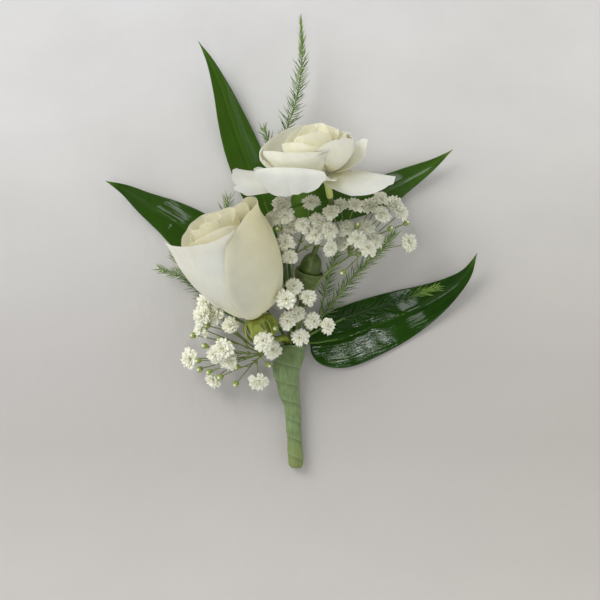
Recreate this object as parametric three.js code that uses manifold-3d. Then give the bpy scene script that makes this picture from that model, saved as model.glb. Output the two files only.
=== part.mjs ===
// A boutonniere that lies on its back: a white rosebud and an open white bloom, with four ruscus
// leaves, asparagus fern and baby's breath, their stems bound together with floral tape.
// Millimetres. +Y points from the taped stems to the flowers and +Z away from the surface under
// it. The origin is on that surface, under the mouth of the tape, in a flat spot of the tape.
import * as THREE from "three";
import { mergeVertices } from "three/addons/utils/BufferGeometryUtils.js";
import Module from "manifold-3d";

const wasm = await Module();
wasm.setup();

const PETAL_THICKNESS = 0.8;
const LEAF_THICKNESS = 0.8;
const TAPE_LENGTH = 42;
const TAPE_MOUTH_Y = 2;
const BOUND_STEM_Y = -5; // how far the thin stems reach down inside the tape
const SLIVER = 0.05; // edges shorter than this are closed up where solids are fused
const CLEARANCE = 0.3; // the least room between pieces that touch each other
const UP = new THREE.Vector3(0, 0, 1);

const vector = (p) => new THREE.Vector3(...p);
const radians = THREE.MathUtils.degToRad;
const mix = THREE.MathUtils.lerp;

// A repeatable draw from 0 to 1: the nth number of a series.
function draw(n, series) {
  const x = Math.sin(n * 12.9898 + series * 78.233) * 43758.5453;
  return x - Math.floor(x);
}

// Solids

function solidOf(positions, triangles) {
  const geometry = new THREE.BufferGeometry();
  geometry.setAttribute("position", new THREE.Float32BufferAttribute(positions, 3));
  geometry.setIndex(triangles);
  return solidOfGeometry(geometry);
}

function solidOfGeometry(geometry) {
  geometry.deleteAttribute("normal");
  geometry.deleteAttribute("uv");
  const merged = mergeVertices(geometry, 1e-4);
  const build = (triVerts) =>
    new wasm.Manifold(
      new wasm.Mesh({ numProp: 3, vertProperties: merged.attributes.position.array, triVerts }),
    );
  const outward = build(new Uint32Array(merged.index.array));
  return outward.volume() > 0 ? outward : build(new Uint32Array(merged.index.array).reverse());
}

// One body out of many: what fusing seals is filled, and a loose scrap is dropped.
function fuse(solids) {
  const bodies = wasm.Manifold.union(solids).simplify(SLIVER).decompose();
  return bodies.sort((a, b) => b.volume() - a.volume())[0];
}

function meshOf(name, solid, material) {
  const { vertProperties, triVerts } = solid.getMesh();
  const geometry = new THREE.BufferGeometry();
  geometry.setAttribute("position", new THREE.BufferAttribute(vertProperties, 3));
  geometry.setIndex(new THREE.BufferAttribute(triVerts, 1));
  geometry.computeVertexNormals();
  const mesh = new THREE.Mesh(geometry, material);
  mesh.name = name;
  return mesh;
}

// A closed skin over rings of points. Each end is capped, or drawn to a point if one is given.
// Where raise(i, j, corners) gives a point, half of that face is raised to it as a spike.
function skin(rings, startPoint, endPoint, raise = () => undefined) {
  const sides = rings[0].length;
  const points = rings.flat();
  const triangles = [];
  for (let i = 0; i < rings.length - 1; i++) {
    for (let j = 0; j < sides; j++) {
      const next = (j + 1) % sides;
      const [a, b] = [i * sides + j, i * sides + next];
      const [c, d] = [b + sides, a + sides];
      const spike = raise(i, j, [points[a], points[b], points[c]]);
      if (spike) {
        const top = points.push(spike) - 1;
        triangles.push(a, b, top, b, c, top, c, a, top);
      } else {
        triangles.push(a, b, c);
      }
      triangles.push(a, c, d);
    }
  }
  const close = (first, point, turned) => {
    const centre = point ? points.push(point) - 1 : first;
    for (let j = point ? 0 : 1; j < (point ? sides : sides - 1); j++) {
      const [a, b] = [first + j, first + ((j + 1) % sides)];
      triangles.push(centre, ...(turned ? [b, a] : [a, b]));
    }
  };
  close(0, startPoint, true);
  close((rings.length - 1) * sides, endPoint, false);
  return solidOf(points.flatMap((p) => p.toArray()), triangles);
}

// A ring of corners round a point, on two directions across the line it belongs to.
function ringRound(point, across, above, radius, sides, twist = 0) {
  return Array.from({ length: sides }, (_, j) => {
    const turn = (2 * Math.PI * j) / sides + twist;
    return point
      .clone()
      .addScaledVector(across, radius * Math.cos(turn))
      .addScaledVector(above, radius * Math.sin(turn));
  });
}

// A thin blade on a grid of points. Both faces are split into triangles alike.
// A blade that rests on the surface is kept from going below it.
function blade(grid, thickness, rests = false) {
  const [rows, columns] = [grid.length, grid[0].length];
  const at = (i, j) =>
    grid[THREE.MathUtils.clamp(i, 0, rows - 1)][THREE.MathUtils.clamp(j, 0, columns - 1)];
  const faces = [[], []];
  for (let i = 0; i < rows; i++) {
    for (let j = 0; j < columns; j++) {
      const along = at(i + 1, j).clone().sub(at(i - 1, j));
      const across = at(i, j + 1).clone().sub(at(i, j - 1));
      const normal = across.cross(along).normalize().multiplyScalar(thickness / 2);
      if (normal.z < 0 && rests) normal.negate();
      const [upper, lower] = [at(i, j).clone().add(normal), at(i, j).clone().sub(normal)];
      if (rests) {
        upper.z = Math.max(upper.z, thickness);
        lower.z = Math.max(lower.z, 0);
      }
      faces[0].push(upper);
      faces[1].push(lower);
    }
  }
  const points = faces.flat();
  const under = rows * columns;
  const triangles = [];
  for (let i = 0; i < rows - 1; i++) {
    for (let j = 0; j < columns - 1; j++) {
      const a = i * columns + j;
      const [b, c, d] = [a + 1, a + columns + 1, a + columns];
      triangles.push(a, b, c, a, c, d);
      triangles.push(under + a, under + c, under + b, under + a, under + d, under + c);
    }
  }
  const rim = [
    ...Array.from({ length: columns - 1 }, (_, j) => j),
    ...Array.from({ length: rows - 1 }, (_, i) => i * columns + columns - 1),
    ...Array.from({ length: columns - 1 }, (_, j) => under - 1 - j),
    ...Array.from({ length: rows - 1 }, (_, i) => (rows - 1 - i) * columns),
  ];
  rim.forEach((a, k) => {
    const b = rim[(k + 1) % rim.length];
    triangles.push(a, under + b, b, a, under + a, under + b);
  });
  return solidOf(points.flatMap((p) => p.toArray()), triangles);
}

// A smooth curve through points.
const curveThrough = (points) => new THREE.CatmullRomCurve3(points.map(vector));

// The point and the directions at a place on a curve: along it, to the right, and above it.
function frameFrom(point, along) {
  const right = along.clone().cross(UP).normalize();
  return { point, along, right, above: right.clone().cross(along) };
}

// The same at a share u of the curve's length.
const frameAt = (curve, u) => frameFrom(curve.getPointAt(u), curve.getTangentAt(u));

// A stem along a curve, with a few steps from each of its points to the next. Its radius goes
// evenly from one end to the other.
function stem(curve, radius, endRadius, sides, stepsPerSpan) {
  const steps = stepsPerSpan * (curve.points.length - 1);
  const rings = [];
  for (let i = 0; i <= steps; i++) {
    const share = i / steps;
    const { point, right, above } = frameFrom(curve.getPoint(share), curve.getTangent(share));
    rings.push(ringRound(point, right, above, mix(radius, endRadius, share), sides));
  }
  return skin(rings);
}

// Where each stem passes the tape's mouth, as [x, z]. Inside the tape the stems lean together.
const MOUTH = {
  rosebud: [-0.85, 3.75],
  bloom: [1.35, 3.75],
  leaf_left: [-1.76, 2.06],
  leaf_top: [-0.55, 1.44],
  leaf_right: [0.85, 1.44],
  leaf_low: [2.06, 2.06],
  fern_left: [-2.5, 3.05],
  fern_top: [0.25, 2.45],
  fern_right: [2.72, 3.2],
  fern_low: [2.76, 4.25],
  breath_low: [-2.57, 4.05],
  breath_upper_left: [-0.35, 6.0],
  breath_upper_right: [1.1, 5.97],
  breath_middle: [2.09, 5.43],
};
const MOUTH_LEAN = 1.35; // how far to the left the bound stems have moved at BOUND_STEM_Y
const STRAIGHT_LENGTH = 1; // how far out of the tape a stem goes before it bends

function boundEnd(name) {
  const [x, z] = MOUTH[name];
  return [
    [x - MOUTH_LEAN, BOUND_STEM_Y, z],
    [x, TAPE_MOUTH_Y, z],
    [x, TAPE_MOUTH_Y + STRAIGHT_LENGTH, z],
  ];
}

// Floral tape: a tapered sleeve wound round the stems, with the steps of its turns outside.
// Each row is y, centre x, half width, half height, then the bore's centre x and radius.
const TAPE_ROWS = [
  [2.0, 0.3, 4.5, 4.2, 0.15, 3.5],
  [-2.0, -0.3, 4.75, 4.2, -0.62, 3.5],
  [-5.0, -1.9, 5.3, 4.2, -1.2, 3.5],
  [-8.2, -2.1, 4.5, 4.1, -1.75, 3.1],
  [-11.6, -1.5, 4.0, 3.7, -1.4, 2.75],
  [-16.3, -0.8, 3.5, 3.2, -0.6, 2.1],
  [-19.0, 0.1, 2.95, 2.85, 0.2, 1.6],
  [-30.3, 0.8, 2.65, 2.65, 0.8, 1.5],
  [-37.0, 1.2, 2.8, 2.75, 1.2, 1.5],
  [-40.5, 1.4, 2.7, 2.6, 1.4, 1.0],
];
const TAPE_PITCH = 6.3; // half the tape's 12.7 mm width, so that each turn laps the last by half
const TAPE_STEP = 0.35; // how far a lap stands proud
const TAPE_SIDES = 14;
const TAPE_RING_SPACING = 2.1;
const TAPE_SINK = 0.45; // how much of the round underside is cut flat on the surface
const TAPE_WALL = 0.6;
const BORE_SIDES = 10;
const BORE_END_Y = -36.5;
const ROUNDED_LENGTH = 1.6; // of the tape's end, which closes in on this length
const ROUNDING = 2.2;

function tapeRow(y) {
  const k = Math.max(
    1,
    TAPE_ROWS.findIndex((row) => row[0] <= y),
  );
  const [a, b] = [TAPE_ROWS[k - 1], TAPE_ROWS[k]];
  const share = (a[0] - y) / (a[0] - b[0]);
  return a.map((value, i) => mix(value, b[i], share));
}

function floralTape() {
  const end = TAPE_MOUTH_Y - TAPE_LENGTH;
  const count = Math.round(TAPE_LENGTH / TAPE_RING_SPACING);
  const rings = [];
  for (let i = 0; i <= count; i++) {
    const y = mix(TAPE_MOUTH_Y, end, i / count);
    const [, x, halfWidth, halfHeight] = tapeRow(y);
    const closing = Math.sqrt(1 - Math.max(0, (end + ROUNDED_LENGTH - y) / ROUNDING) ** 2);
    rings.push(
      Array.from({ length: TAPE_SIDES }, (_, j) => {
        const turn = (2 * Math.PI * j) / TAPE_SIDES;
        const laps = -y / TAPE_PITCH + j / TAPE_SIDES;
        const proud = TAPE_STEP * (laps - Math.floor(laps));
        return new THREE.Vector3(
          x + (halfWidth - TAPE_STEP + proud) * closing * Math.cos(turn),
          y,
          halfHeight - TAPE_SINK + (halfHeight - TAPE_STEP + proud) * closing * Math.sin(turn),
        );
      }),
    );
  }
  const between = TAPE_ROWS.map(([y]) => y).filter((y) => y < TAPE_MOUTH_Y && y > BORE_END_Y);
  const boreRings = [TAPE_MOUTH_Y + 1, ...between, BORE_END_Y].map((y) => {
    const [, , , halfHeight, x, radius] = tapeRow(Math.min(y, TAPE_MOUTH_Y));
    const middle = halfHeight - TAPE_SINK;
    const depth = Math.min(radius, middle - TAPE_WALL);
    return Array.from({ length: BORE_SIDES }, (_, j) => {
      const turn = (2 * Math.PI * j) / BORE_SIDES;
      return new THREE.Vector3(x + radius * Math.cos(turn), y, middle + depth * Math.sin(turn));
    });
  });
  const surface = new THREE.BoxGeometry(40, 100, 10).translate(0, 0, -5);
  return skin(rings).subtract(skin(boreRings)).subtract(solidOfGeometry(surface));
}

// Leaves. Each has a pointed blade on a curve that starts at its petiole in the tape.
// A leaf's outline has a round foot and a long point, and is 1 where it is widest.
const [FOOT_POWER, POINT_POWER] = [0.35, 1.15];
const [BLADE_START, BLADE_END] = [0.012, 0.985]; // shares of the midrib
const outline = (u) => u ** FOOT_POWER * (1 - u) ** POINT_POWER;
const leafOutline = (u) => outline(u) / outline(FOOT_POWER / (FOOT_POWER + POINT_POWER));

function leaf({ mouth, petiole, midrib, halfWidth, dish }) {
  const curve = curveThrough(midrib);
  const [rows, columns] = [11, 5];
  const grid = Array.from({ length: rows }, (_, i) => {
    const u = mix(BLADE_START, BLADE_END, i / (rows - 1));
    const { point, right, above } = frameAt(curve, u);
    const half = halfWidth * leafOutline(u);
    return Array.from({ length: columns }, (_, j) => {
      const v = (2 * j) / (columns - 1) - 1;
      return point
        .clone()
        .addScaledVector(right, v * half)
        .addScaledVector(above, dish * half * v * v);
    });
  });
  const stalk = curveThrough([...boundEnd(mouth), ...petiole, midrib[0], midrib[1]]);
  return fuse([blade(grid, LEAF_THICKNESS, true), stem(stalk, 0.5, 0.42, 4, 2)]);
}

const LEAVES = {
  leaf_top_left: {
    mouth: "leaf_top",
    petiole: [[-1.4, 12, 1.2], [-3.2, 28, 1.0]],
    midrib: [
      [-6.9, 44.0, 0.6], [-10.3, 53.3, 0.4], [-14.1, 61.5, 0.4], [-17.7, 70.4, 1.4],
      [-20.6, 78.8, 3.0], [-23.9, 88.8, 5.0], [-27.8, 98.2, 7.0], [-31.8, 105.0, 8.5],
    ],
    halfWidth: 6.6,
    dish: 0.1,
  },
  leaf_left: {
    mouth: "leaf_left",
    petiole: [[-4.6, 8, 1.8], [-11.5, 17.5, 1.0]],
    midrib: [
      [-19.9, 26.9, 0.6], [-29.9, 36.6, 0.4], [-40.6, 44.6, 0.6], [-50.2, 50.4, 2.8],
      [-56.7, 54.7, 5.5], [-63.4, 57.8, 7.5],
    ],
    halfWidth: 8.4,
    dish: 0.12,
  },
  leaf_right: {
    mouth: "leaf_right",
    petiole: [[0.4, 14, 1.2], [-1.2, 32, 1.0]],
    midrib: [
      [-0.3, 49.0, 0.7], [9.5, 51.0, 0.4], [20.5, 52.3, 0.4], [31.8, 55.0, 0.8],
      [40.2, 59.3, 2.5], [48.2, 63.8, 5.0], [54.6, 68.4, 7.5],
    ],
    halfWidth: 7.4,
    dish: 0.1,
  },
  leaf_low_right: {
    mouth: "leaf_low",
    petiole: [[2.9, 3.6, 1.8]],
    midrib: [
      [5.8, 2.7, 1.5], [16.4, 4.0, 0.8], [25.6, 7.4, 0.4], [37.3, 12.2, 0.4],
      [47.1, 17.0, 2.0], [54.4, 21.8, 4.2], [59.3, 26.5, 6.2], [62.6, 33.3, 8.5],
    ],
    halfWidth: 10.4,
    dish: 0.06,
  },
};

// Flowers. A flower's own frame has its axis along local z, its front (-y) turned up from the
// surface and +x to the right. A petal's azimuth is 0 at the front and 90 degrees at the right.

function flowerFrame(base, lean, tilt) {
  const [l, t] = [radians(lean), radians(tilt)];
  const axis = new THREE.Vector3(
    Math.sin(l) * Math.cos(t),
    Math.cos(l) * Math.cos(t),
    Math.sin(t),
  );
  const front = UP.clone().addScaledVector(axis, -axis.z).normalize();
  const right = axis.clone().cross(front);
  return new THREE.Matrix4().makeBasis(right, front.negate(), axis).setPosition(vector(base));
}

const BUD_FRAME = flowerFrame([-12.4, 12.3, 15.0], -22.6, 20);
const BLOOM_FRAME = flowerFrame([11.2, 58.9, 21.0], -11, 25);

// A petal's point, from share s (-1 to 1) across and t (0 at the claw to 1 at the rim) along.
// profile holds [radius, height] points from claw to rim, and farProfile those of the petal's
// right side if they differ. A petal with a spread, in degrees, hugs the axis; one with a
// halfWidth opens out, bent across by the radius bow, which droops its edges if it is negative.
// round lowers the corners of the rim, left and right, and slip tucks one edge under the next
// petal and lifts the other over it.
const CLAW_WIDTH = 0.12; // an open petal's width at its claw, as a share of its width
const [NEAR_SIDE, FAR_SIDE] = [-0.8, 0.6]; // between these a petal goes from profile to farProfile
const SLIP_START = 0.3; // share of the length from which a petal is slipped in full
function petalPoint(petal, [near, far], s, t) {
  const round = petal.round[s < 0 ? 0 : 1];
  const share = t * (1 - round * Math.abs(s) ** petal.corner);
  const turning = THREE.MathUtils.smoothstep(s, NEAR_SIDE, FAR_SIDE);
  const { x: radius, y: height } = near.getPoint(share).lerp(far.getPoint(share), turning);
  const step = near.getTangent(share).lerp(far.getTangent(share), turning).normalize();
  const hugging = petal.spread !== undefined;
  const half = hugging
    ? radians(petal.spread) * radius
    : petal.halfWidth * mix(CLAW_WIDTH, 1, share ** petal.widening);
  const bow = hugging ? radius : petal.bow;
  const angle = (s * half) / bow;
  const slip = petal.slip * s * Math.min(1, share / SLIP_START);
  const wave = petal.wave * share ** 3 * Math.sin(4 * s + 2 * petal.azimuth);
  const rise = bow * (1 - Math.cos(angle)) - slip + wave;
  const outward = radius - step.y * rise;
  const sideways = bow * Math.sin(angle);
  const turn = radians(petal.azimuth);
  return new THREE.Vector3(
    outward * Math.sin(turn) + sideways * Math.cos(turn),
    -outward * Math.cos(turn) + sideways * Math.sin(turn),
    height + step.x * rise,
  );
}

function petal(given, frame, rows, columns) {
  const shape = { slip: 0, wave: 0, from: 0, widening: 0.7, corner: 2.2, round: [0.25, 0.25], ...given };
  const profiles = [shape.profile, shape.farProfile ?? shape.profile].map(
    (profile) => new THREE.SplineCurve(profile.map(([r, h]) => new THREE.Vector2(r, h))),
  );
  const grid = Array.from({ length: rows }, (_, i) =>
    Array.from({ length: columns }, (_, j) => {
      const s = (2 * j) / (columns - 1) - 1;
      const t = mix(shape.from, 1, i / (rows - 1));
      return petalPoint(shape, profiles, s, t).applyMatrix4(frame);
    }),
  );
  return blade(grid, PETAL_THICKNESS);
}

// A solid turned about a flower's axis, from a profile of [radius, height] points.
function turned(profile, frame, segments) {
  const lathe = new THREE.LatheGeometry(
    profile.map(([r, h]) => new THREE.Vector2(r, h)),
    segments,
  );
  return solidOfGeometry(lathe.rotateX(Math.PI / 2).applyMatrix4(frame));
}

const BUD_CORE = [
  [0, -0.6], [5, -0.3], [8.6, 2.6], [11.2, 7], [12.4, 12], [12.0, 16.5], [8.5, 21], [0, 23],
];
const BUD_LEFT = [[3, 0], [7.5, 3.6], [11.6, 9.2], [15.2, 16.5], [16.4, 25], [16.6, 30], [17.3, 36]];
const BUD_RIGHT = [[3, 0], [10.2, 2.2], [14.2, 8.5], [15.9, 17], [16.1, 26.5], [15.2, 32.5], [15.6, 37]];
const scaled = (profile, r, h) => profile.map((p) => [p[0] * r, p[1] * h]);

const OUTER_PETALS = [
  { azimuth: 160, spread: 58, profile: scaled(BUD_RIGHT, 0.93, 0.9), round: [0.22, 0.22] },
  {
    azimuth: 178, spread: 49, profile: scaled(BUD_RIGHT, 0.93, 0.93),
    farProfile: scaled(BUD_LEFT, 0.95, 0.93), round: [0.2, 0.2], corner: 2.6,
  },
  {
    azimuth: -40, spread: 63, profile: BUD_LEFT, farProfile: scaled(BUD_RIGHT, 0.97, 0.905),
    round: [0.09, 0.03], corner: 3, slip: -0.3,
  },
  { azimuth: 76, spread: 82, profile: BUD_RIGHT, round: [0.17, 0.22], corner: 2.6, slip: -0.5 },
];
const INNER_PETALS = [
  {
    azimuth: -28, spread: 66, profile: scaled(BUD_RIGHT, 0.86, 0.9),
    farProfile: scaled(BUD_RIGHT, 0.84, 0.99), round: [0.12, 0.12], from: 0.35,
  },
  { azimuth: 108, spread: 66, profile: scaled(BUD_RIGHT, 0.8, 0.97), from: 0.35 },
  { azimuth: -60, spread: 90, profile: scaled(BUD_RIGHT, 0.5, 0.97), from: 0.5 },
  { azimuth: 125, spread: 100, profile: scaled(BUD_RIGHT, 0.48, 0.95), from: 0.5 },
  { azimuth: 15, spread: 120, profile: scaled(BUD_RIGHT, 0.3, 0.97), from: 0.5 },
];

function rosebudPetals() {
  const outer = OUTER_PETALS.map((p) => petal({ slip: 0.9, wave: 0.35, ...p }, BUD_FRAME, 6, 8));
  const inner = INNER_PETALS.map((p) => petal({ slip: 0.9, wave: 0.35, ...p }, BUD_FRAME, 3, 5));
  return fuse([turned(BUD_CORE, BUD_FRAME, 10), ...outer, ...inner]);
}

// The open bloom: petals that lie open round a cup of upright ones. The cup leans a little more.
const BLOOM_CORE = [[0, -0.5], [2.6, -0.3], [5, 2.2], [6.2, 5.5], [5.2, 9], [0, 11]];
const CUP = [[2, 0], [7, 1.5], [11, 5], [12.8, 9.5], [12.4, 13]];
const LEFT_OPEN = [[1.5, 0], [8, 0.8], [15, 2.0], [23, 3.8], [31, 6.0]];
const RIGHT_OPEN = [[1.5, 0], [7, -0.4], [13, -1.2], [19, -2.0], [23.5, -2.4]];
const FRONT = [[1.5, 0], [9, 2], [15, 6], [18.5, 9.8], [20.8, 9.6], [21.8, 6], [21.8, 1.8]];
const FOLDED = [[1.5, 0.2], [8, 0.2], [14, 0], [19.5, 1.4], [24, 4.8]];
const BACK = [[1.5, 0], [6, 1.8], [11, 3.5], [15, 5], [18, 6]];
const UPRIGHT = [[2, 0.4], [7.5, 1.0], [13, 1.6], [16.5, 2.2], [19.5, 3.2]];

const OPEN_PETALS = [
  {
    azimuth: -86, halfWidth: 10.5, bow: -13, profile: LEFT_OPEN, round: [0.14, 0.2], widening: 0.5,
    wave: 0.8,
  },
  {
    azimuth: -34, halfWidth: 14, bow: -110, profile: FRONT, round: [0.2, 0.14], corner: 2.8,
    widening: 0.35,
  },
  { azimuth: 60, halfWidth: 10.5, bow: -25, profile: RIGHT_OPEN, widening: 0.45, wave: 0.4 },
  {
    azimuth: -108, halfWidth: 8, bow: -14, profile: FOLDED, round: [0.5, 0.5], corner: 1.5,
    wave: 0.4,
  },
  { azimuth: -155, halfWidth: 11, bow: 20, profile: BACK, wave: 0.7 },
  { azimuth: 130, halfWidth: 8, bow: 18, profile: UPRIGHT, round: [0.3, 0.06], widening: 0.4, wave: 0.4 },
];
const CUP_FRAME = flowerFrame([10.6, 58.9, 21.0], -19, 16);
const CUP_PETALS = [
  {
    azimuth: -46, spread: 64, profile: scaled(CUP, 1.34, 1.06), farProfile: scaled(CUP, 1.1, 1.06),
    round: [0.08, 0.08],
  },
  {
    azimuth: 52, spread: 56, profile: scaled(CUP, 1.02, 1.0), farProfile: scaled(CUP, 1.0, 0.66),
    round: [0.08, 0.08], slip: -0.6,
  },
  {
    azimuth: -125, spread: 58, profile: scaled(CUP, 1.05, 1.32), farProfile: scaled(CUP, 1.4, 1.1),
    round: [0.05, 0.1],
  },
  {
    azimuth: 170, spread: 60, profile: scaled(CUP, 0.98, 0.84), farProfile: scaled(CUP, 1.0, 1.14),
    round: [0.14, 0.14],
  },
  { azimuth: 105, spread: 50, profile: scaled(CUP, 1.0, 0.76), round: [0.2, 0.2] },
  { azimuth: -60, spread: 88, profile: scaled(CUP, 0.8, 1.14), from: 0.35 },
  { azimuth: 85, spread: 88, profile: scaled(CUP, 0.82, 0.86), from: 0.35 },
  { azimuth: -20, spread: 110, profile: scaled(CUP, 0.5, 1.2), from: 0.45 },
];

function bloomPetals() {
  return fuse([
    turned(BLOOM_CORE, BLOOM_FRAME, 10),
    ...OPEN_PETALS.map((p) => petal({ corner: 2.4, round: [0.34, 0.34], ...p }, BLOOM_FRAME, 5, 5)),
    ...CUP_PETALS.map((p) => petal({ slip: 0.8, wave: 0.3, ...p }, CUP_FRAME, 4, 5)),
  ]);
}

// The rosebud's green: the hip with its five sepals folded back, on a stem that runs down the
// whole length of the tape.
const HIP = [[0, -9.2], [1.3, -9.0], [2.7, -7.9], [3.9, -5.8], [4.1, -3.6], [3.4, -1.4], [0, -1.0]];
const SEPAL = [[2.8, -1.4], [4.4, -2.2], [4.8, -4.2], [4.6, -6.2], [4.1, -8.2]];
const BUD_STEM_END_Y = -35.5;

function rosebudCalyx() {
  const sepals = Array.from({ length: 5 }, (_, k) =>
    petal(
      { azimuth: 8 + 72 * k, halfWidth: 3.5, bow: 4.8, profile: SEPAL, round: [0.4, 0.4] },
      BUD_FRAME,
      5,
      4,
    ),
  );
  const top = new THREE.Vector3(0, 0, -7.5).applyMatrix4(BUD_FRAME).toArray();
  const bend = new THREE.Vector3(0, 0, -9.6).applyMatrix4(BUD_FRAME).toArray();
  const [x, z] = MOUTH.rosebud;
  const curve = curveThrough([
    [1.1, BUD_STEM_END_Y, 2.25],
    [0.75, -28, 2.2],
    [0.2, -19, 2.4],
    [-1.4, -12, 3.2],
    [x - MOUTH_LEAN, BOUND_STEM_Y, z],
    [x, TAPE_MOUTH_Y, z],
    [-2.1, 4.4, 6.2],
    [-5.8, 4.0, 9.6],
    bend,
    top,
  ]);
  return fuse([turned(HIP, BUD_FRAME, 10), ...sepals, stem(curve, 1.05, 1.05, 5, 2)]);
}

// The bloom's green: a narrow throat under the petals, a round calyx and a stem into the tape.
const THROAT = [[0, -8.5], [1.05, -8.3], [1.2, -4], [1.7, -1.2], [0, -0.85]];
const CALYX_PLACE = [6.4, 29.0, 9.2];
const CALYX_LEAN = 14; // degrees that the calyx and the tape cone under it lean to the right
const CALYX_RISE = 20; // degrees that they rise from the surface
const CALYX = [[0, -4.4], [1.6, -4.2], [2.9, -2.4], [3.3, 0], [2.9, 2.2], [1.7, 3.9], [0, 4.3]];
const CALYX_FRAME = flowerFrame(CALYX_PLACE, CALYX_LEAN, CALYX_RISE);
const onCalyxAxis = (h) => new THREE.Vector3(0, 0, h).applyMatrix4(CALYX_FRAME).toArray();

function bloomStem() {
  const throatEnd = new THREE.Vector3(0, 0, -7.5).applyMatrix4(BLOOM_FRAME).toArray();
  const below = new THREE.Vector3(0, 0, -11).applyMatrix4(BLOOM_FRAME).toArray();
  const curve = curveThrough([
    ...boundEnd("bloom"),
    onCalyxAxis(-16),
    onCalyxAxis(-10),
    onCalyxAxis(-3),
    onCalyxAxis(4),
    below,
    throatEnd,
  ]);
  return fuse([
    turned(THROAT, BLOOM_FRAME, 8),
    turned(CALYX, CALYX_FRAME, 10),
    stem(curve, 0.85, 0.95, 5, 2),
  ]);
}

// A cone of tape under the bloom's calyx, wound down onto its stem.
const CONE = [
  [1.45, -13], [1.9, -13], [3.0, -9], [4.4, -5], [5.0, -2.2],
  [4.4, -1.9], [3.75, -2.4], [3.45, -4.4], [2.1, -6.2], [1.35, -9],
];

function stemTapeCone() {
  const profile = [...CONE, CONE[0]];
  return turned(profile, CALYX_FRAME, 14);
}

// Asparagus fern. Needles are raised from the faces of a slim stem, on every second face, from
// share `from` of its length to the tip. They are shorter and closer to the stem at the tip.
const NEEDLE_SPACING = 1.7; // from one ring of needles to the next
const NEEDLE_LEAN = [60, 14]; // degrees from the stem, at the first needle and at the tip
const RING_TWIST = 0.4;
const FERN_SIDES = 4;
const BARE_SPACING = 6; // between the rings of the bare foot of a sprig
const [FERN_FOOT, FERN_TIP] = [0.45, 0.32]; // radii of a sprig's stem

function sprig({ points, from, length, seed }, clearOf) {
  const curve = curveThrough(points);
  const total = curve.getLength();
  const bare = Math.max(1, Math.round((from * total) / BARE_SPACING));
  const needled = Math.round(((1 - from) * total) / NEEDLE_SPACING);
  const shares = [
    ...Array.from({ length: bare }, (_, i) => (from * i) / bare),
    ...Array.from({ length: needled + 1 }, (_, i) => mix(from, 1, i / needled)),
  ];
  const frames = shares.map((u) => frameAt(curve, u));
  const rings = frames.map(({ point, right, above }, i) =>
    ringRound(point, right, above, mix(FERN_FOOT, FERN_TIP, shares[i]), FERN_SIDES, i * RING_TWIST),
  );
  const raise = (i, j, corners) => {
    if (i < bare || (i + j) % 2) return undefined;
    const share = (shares[i] - from) / (1 - from);
    const { point, along } = frames[i];
    const root = corners[0].clone().add(corners[1]).add(corners[2]).divideScalar(3);
    const out = root.clone().sub(point);
    out.addScaledVector(along, -out.dot(along)).normalize();
    const lean = radians(mix(NEEDLE_LEAN[0], NEEDLE_LEAN[1], share ** 1.6));
    const long = length * mix(1, 0.55, share ** 2) * mix(0.75, 1.1, draw(4 * i + j, seed));
    const direction = along.clone().multiplyScalar(Math.cos(lean));
    direction.addScaledVector(out, Math.sin(lean));
    const tip = root.clone().addScaledVector(direction, long);
    const inside = point.clone().sub(root).multiplyScalar(0.5).add(root);
    const needle = skin([corners], inside, tip);
    return clearOf.every((other) => needle.minGap(other, 1) > CLEARANCE) ? tip : undefined;
  };
  const end = curve.getPointAt(1).addScaledVector(curve.getTangentAt(1), 0.6 * length);
  return skin(rings, undefined, end, raise);
}

const FERNS = {
  fern_top: [
    {
      points: [
        [-1.1, 17.3, 3.1], [-3.1, 34.4, 3.3], [-3.9, 51.4, 3.6], [-2.9, 69.0, 6.0],
        [-0.7, 78.3, 7.5], [1.7, 86.5, 9.0], [3.3, 98.1, 10.5], [3.0, 111.6, 12.0],
      ],
      from: 0.52, length: 4.2, seed: 11,
    },
    {
      points: [[-3.7, 60.0, 4.6], [-6.8, 68.3, 5.5], [-9.7, 75.5, 6.5]],
      from: 0.3, length: 3.8, seed: 12,
    },
  ],
  fern_left: [
    {
      points: [[-10.3, 6.4, 3.2], [-22.9, 13.0, 3.4], [-32.1, 21.4, 4.5], [-40.6, 33.4, 6.0]],
      from: 0.4, length: 3.8, seed: 21,
    },
    {
      points: [[-27.5, 16.7, 3.9], [-36.5, 25.0, 5.0], [-45.2, 28.0, 5.5]],
      from: 0.35, length: 3.4, seed: 22,
    },
    {
      points: [[-19.0, 10.7, 3.3], [-23.9, 31.0, 3.7], [-21.8, 52.4, 4.6]],
      from: 0.78, length: 3.8, seed: 23,
    },
  ],
  fern_right: [
    {
      points: [
        [7.8, 8.8, 6.0], [14.5, 17.3, 8.0], [21.2, 25.8, 9.0], [31.2, 35.8, 11.0], [34.6, 39.8, 12.0],
      ],
      from: 0.12, length: 4.2, seed: 31,
    },
    {
      points: [[9.0, 10.4, 6.4], [12.6, 25.8, 8.4], [17.0, 37.0, 9.4]],
      from: 0.3, length: 3.6, seed: 32,
    },
  ],
  fern_low: [
    {
      points: [[8.8, 7.1, 5.5], [18.0, 11.2, 4.8], [36.7, 17.3, 4.6], [48.8, 21.4, 5.4]],
      from: 0.1, length: 3.8, seed: 41,
    },
  ],
};

function fern(mouth, sprigs, clearOf) {
  const [main] = sprigs;
  const lead = curveThrough([...boundEnd(mouth), main.points[0], main.points[1]]);
  return fuse([stem(lead, 0.36, 0.42, 4, 2), ...sprigs.map((shape) => sprig(shape, clearOf))]);
}

// Baby's breath. A spray's branches part from one fork, and each holds florets and closed buds on
// pedicels of their own.
const FLORET_RADIUS = 2.9;
const FLORET_SIZES = [0.85, 1.12]; // from the smallest to the largest, as shares of the radius
const FLORET_PETALS = 5;
const BUD_RADIUS = 0.95;
const PEDICEL_RADIUS = 0.22;
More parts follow.
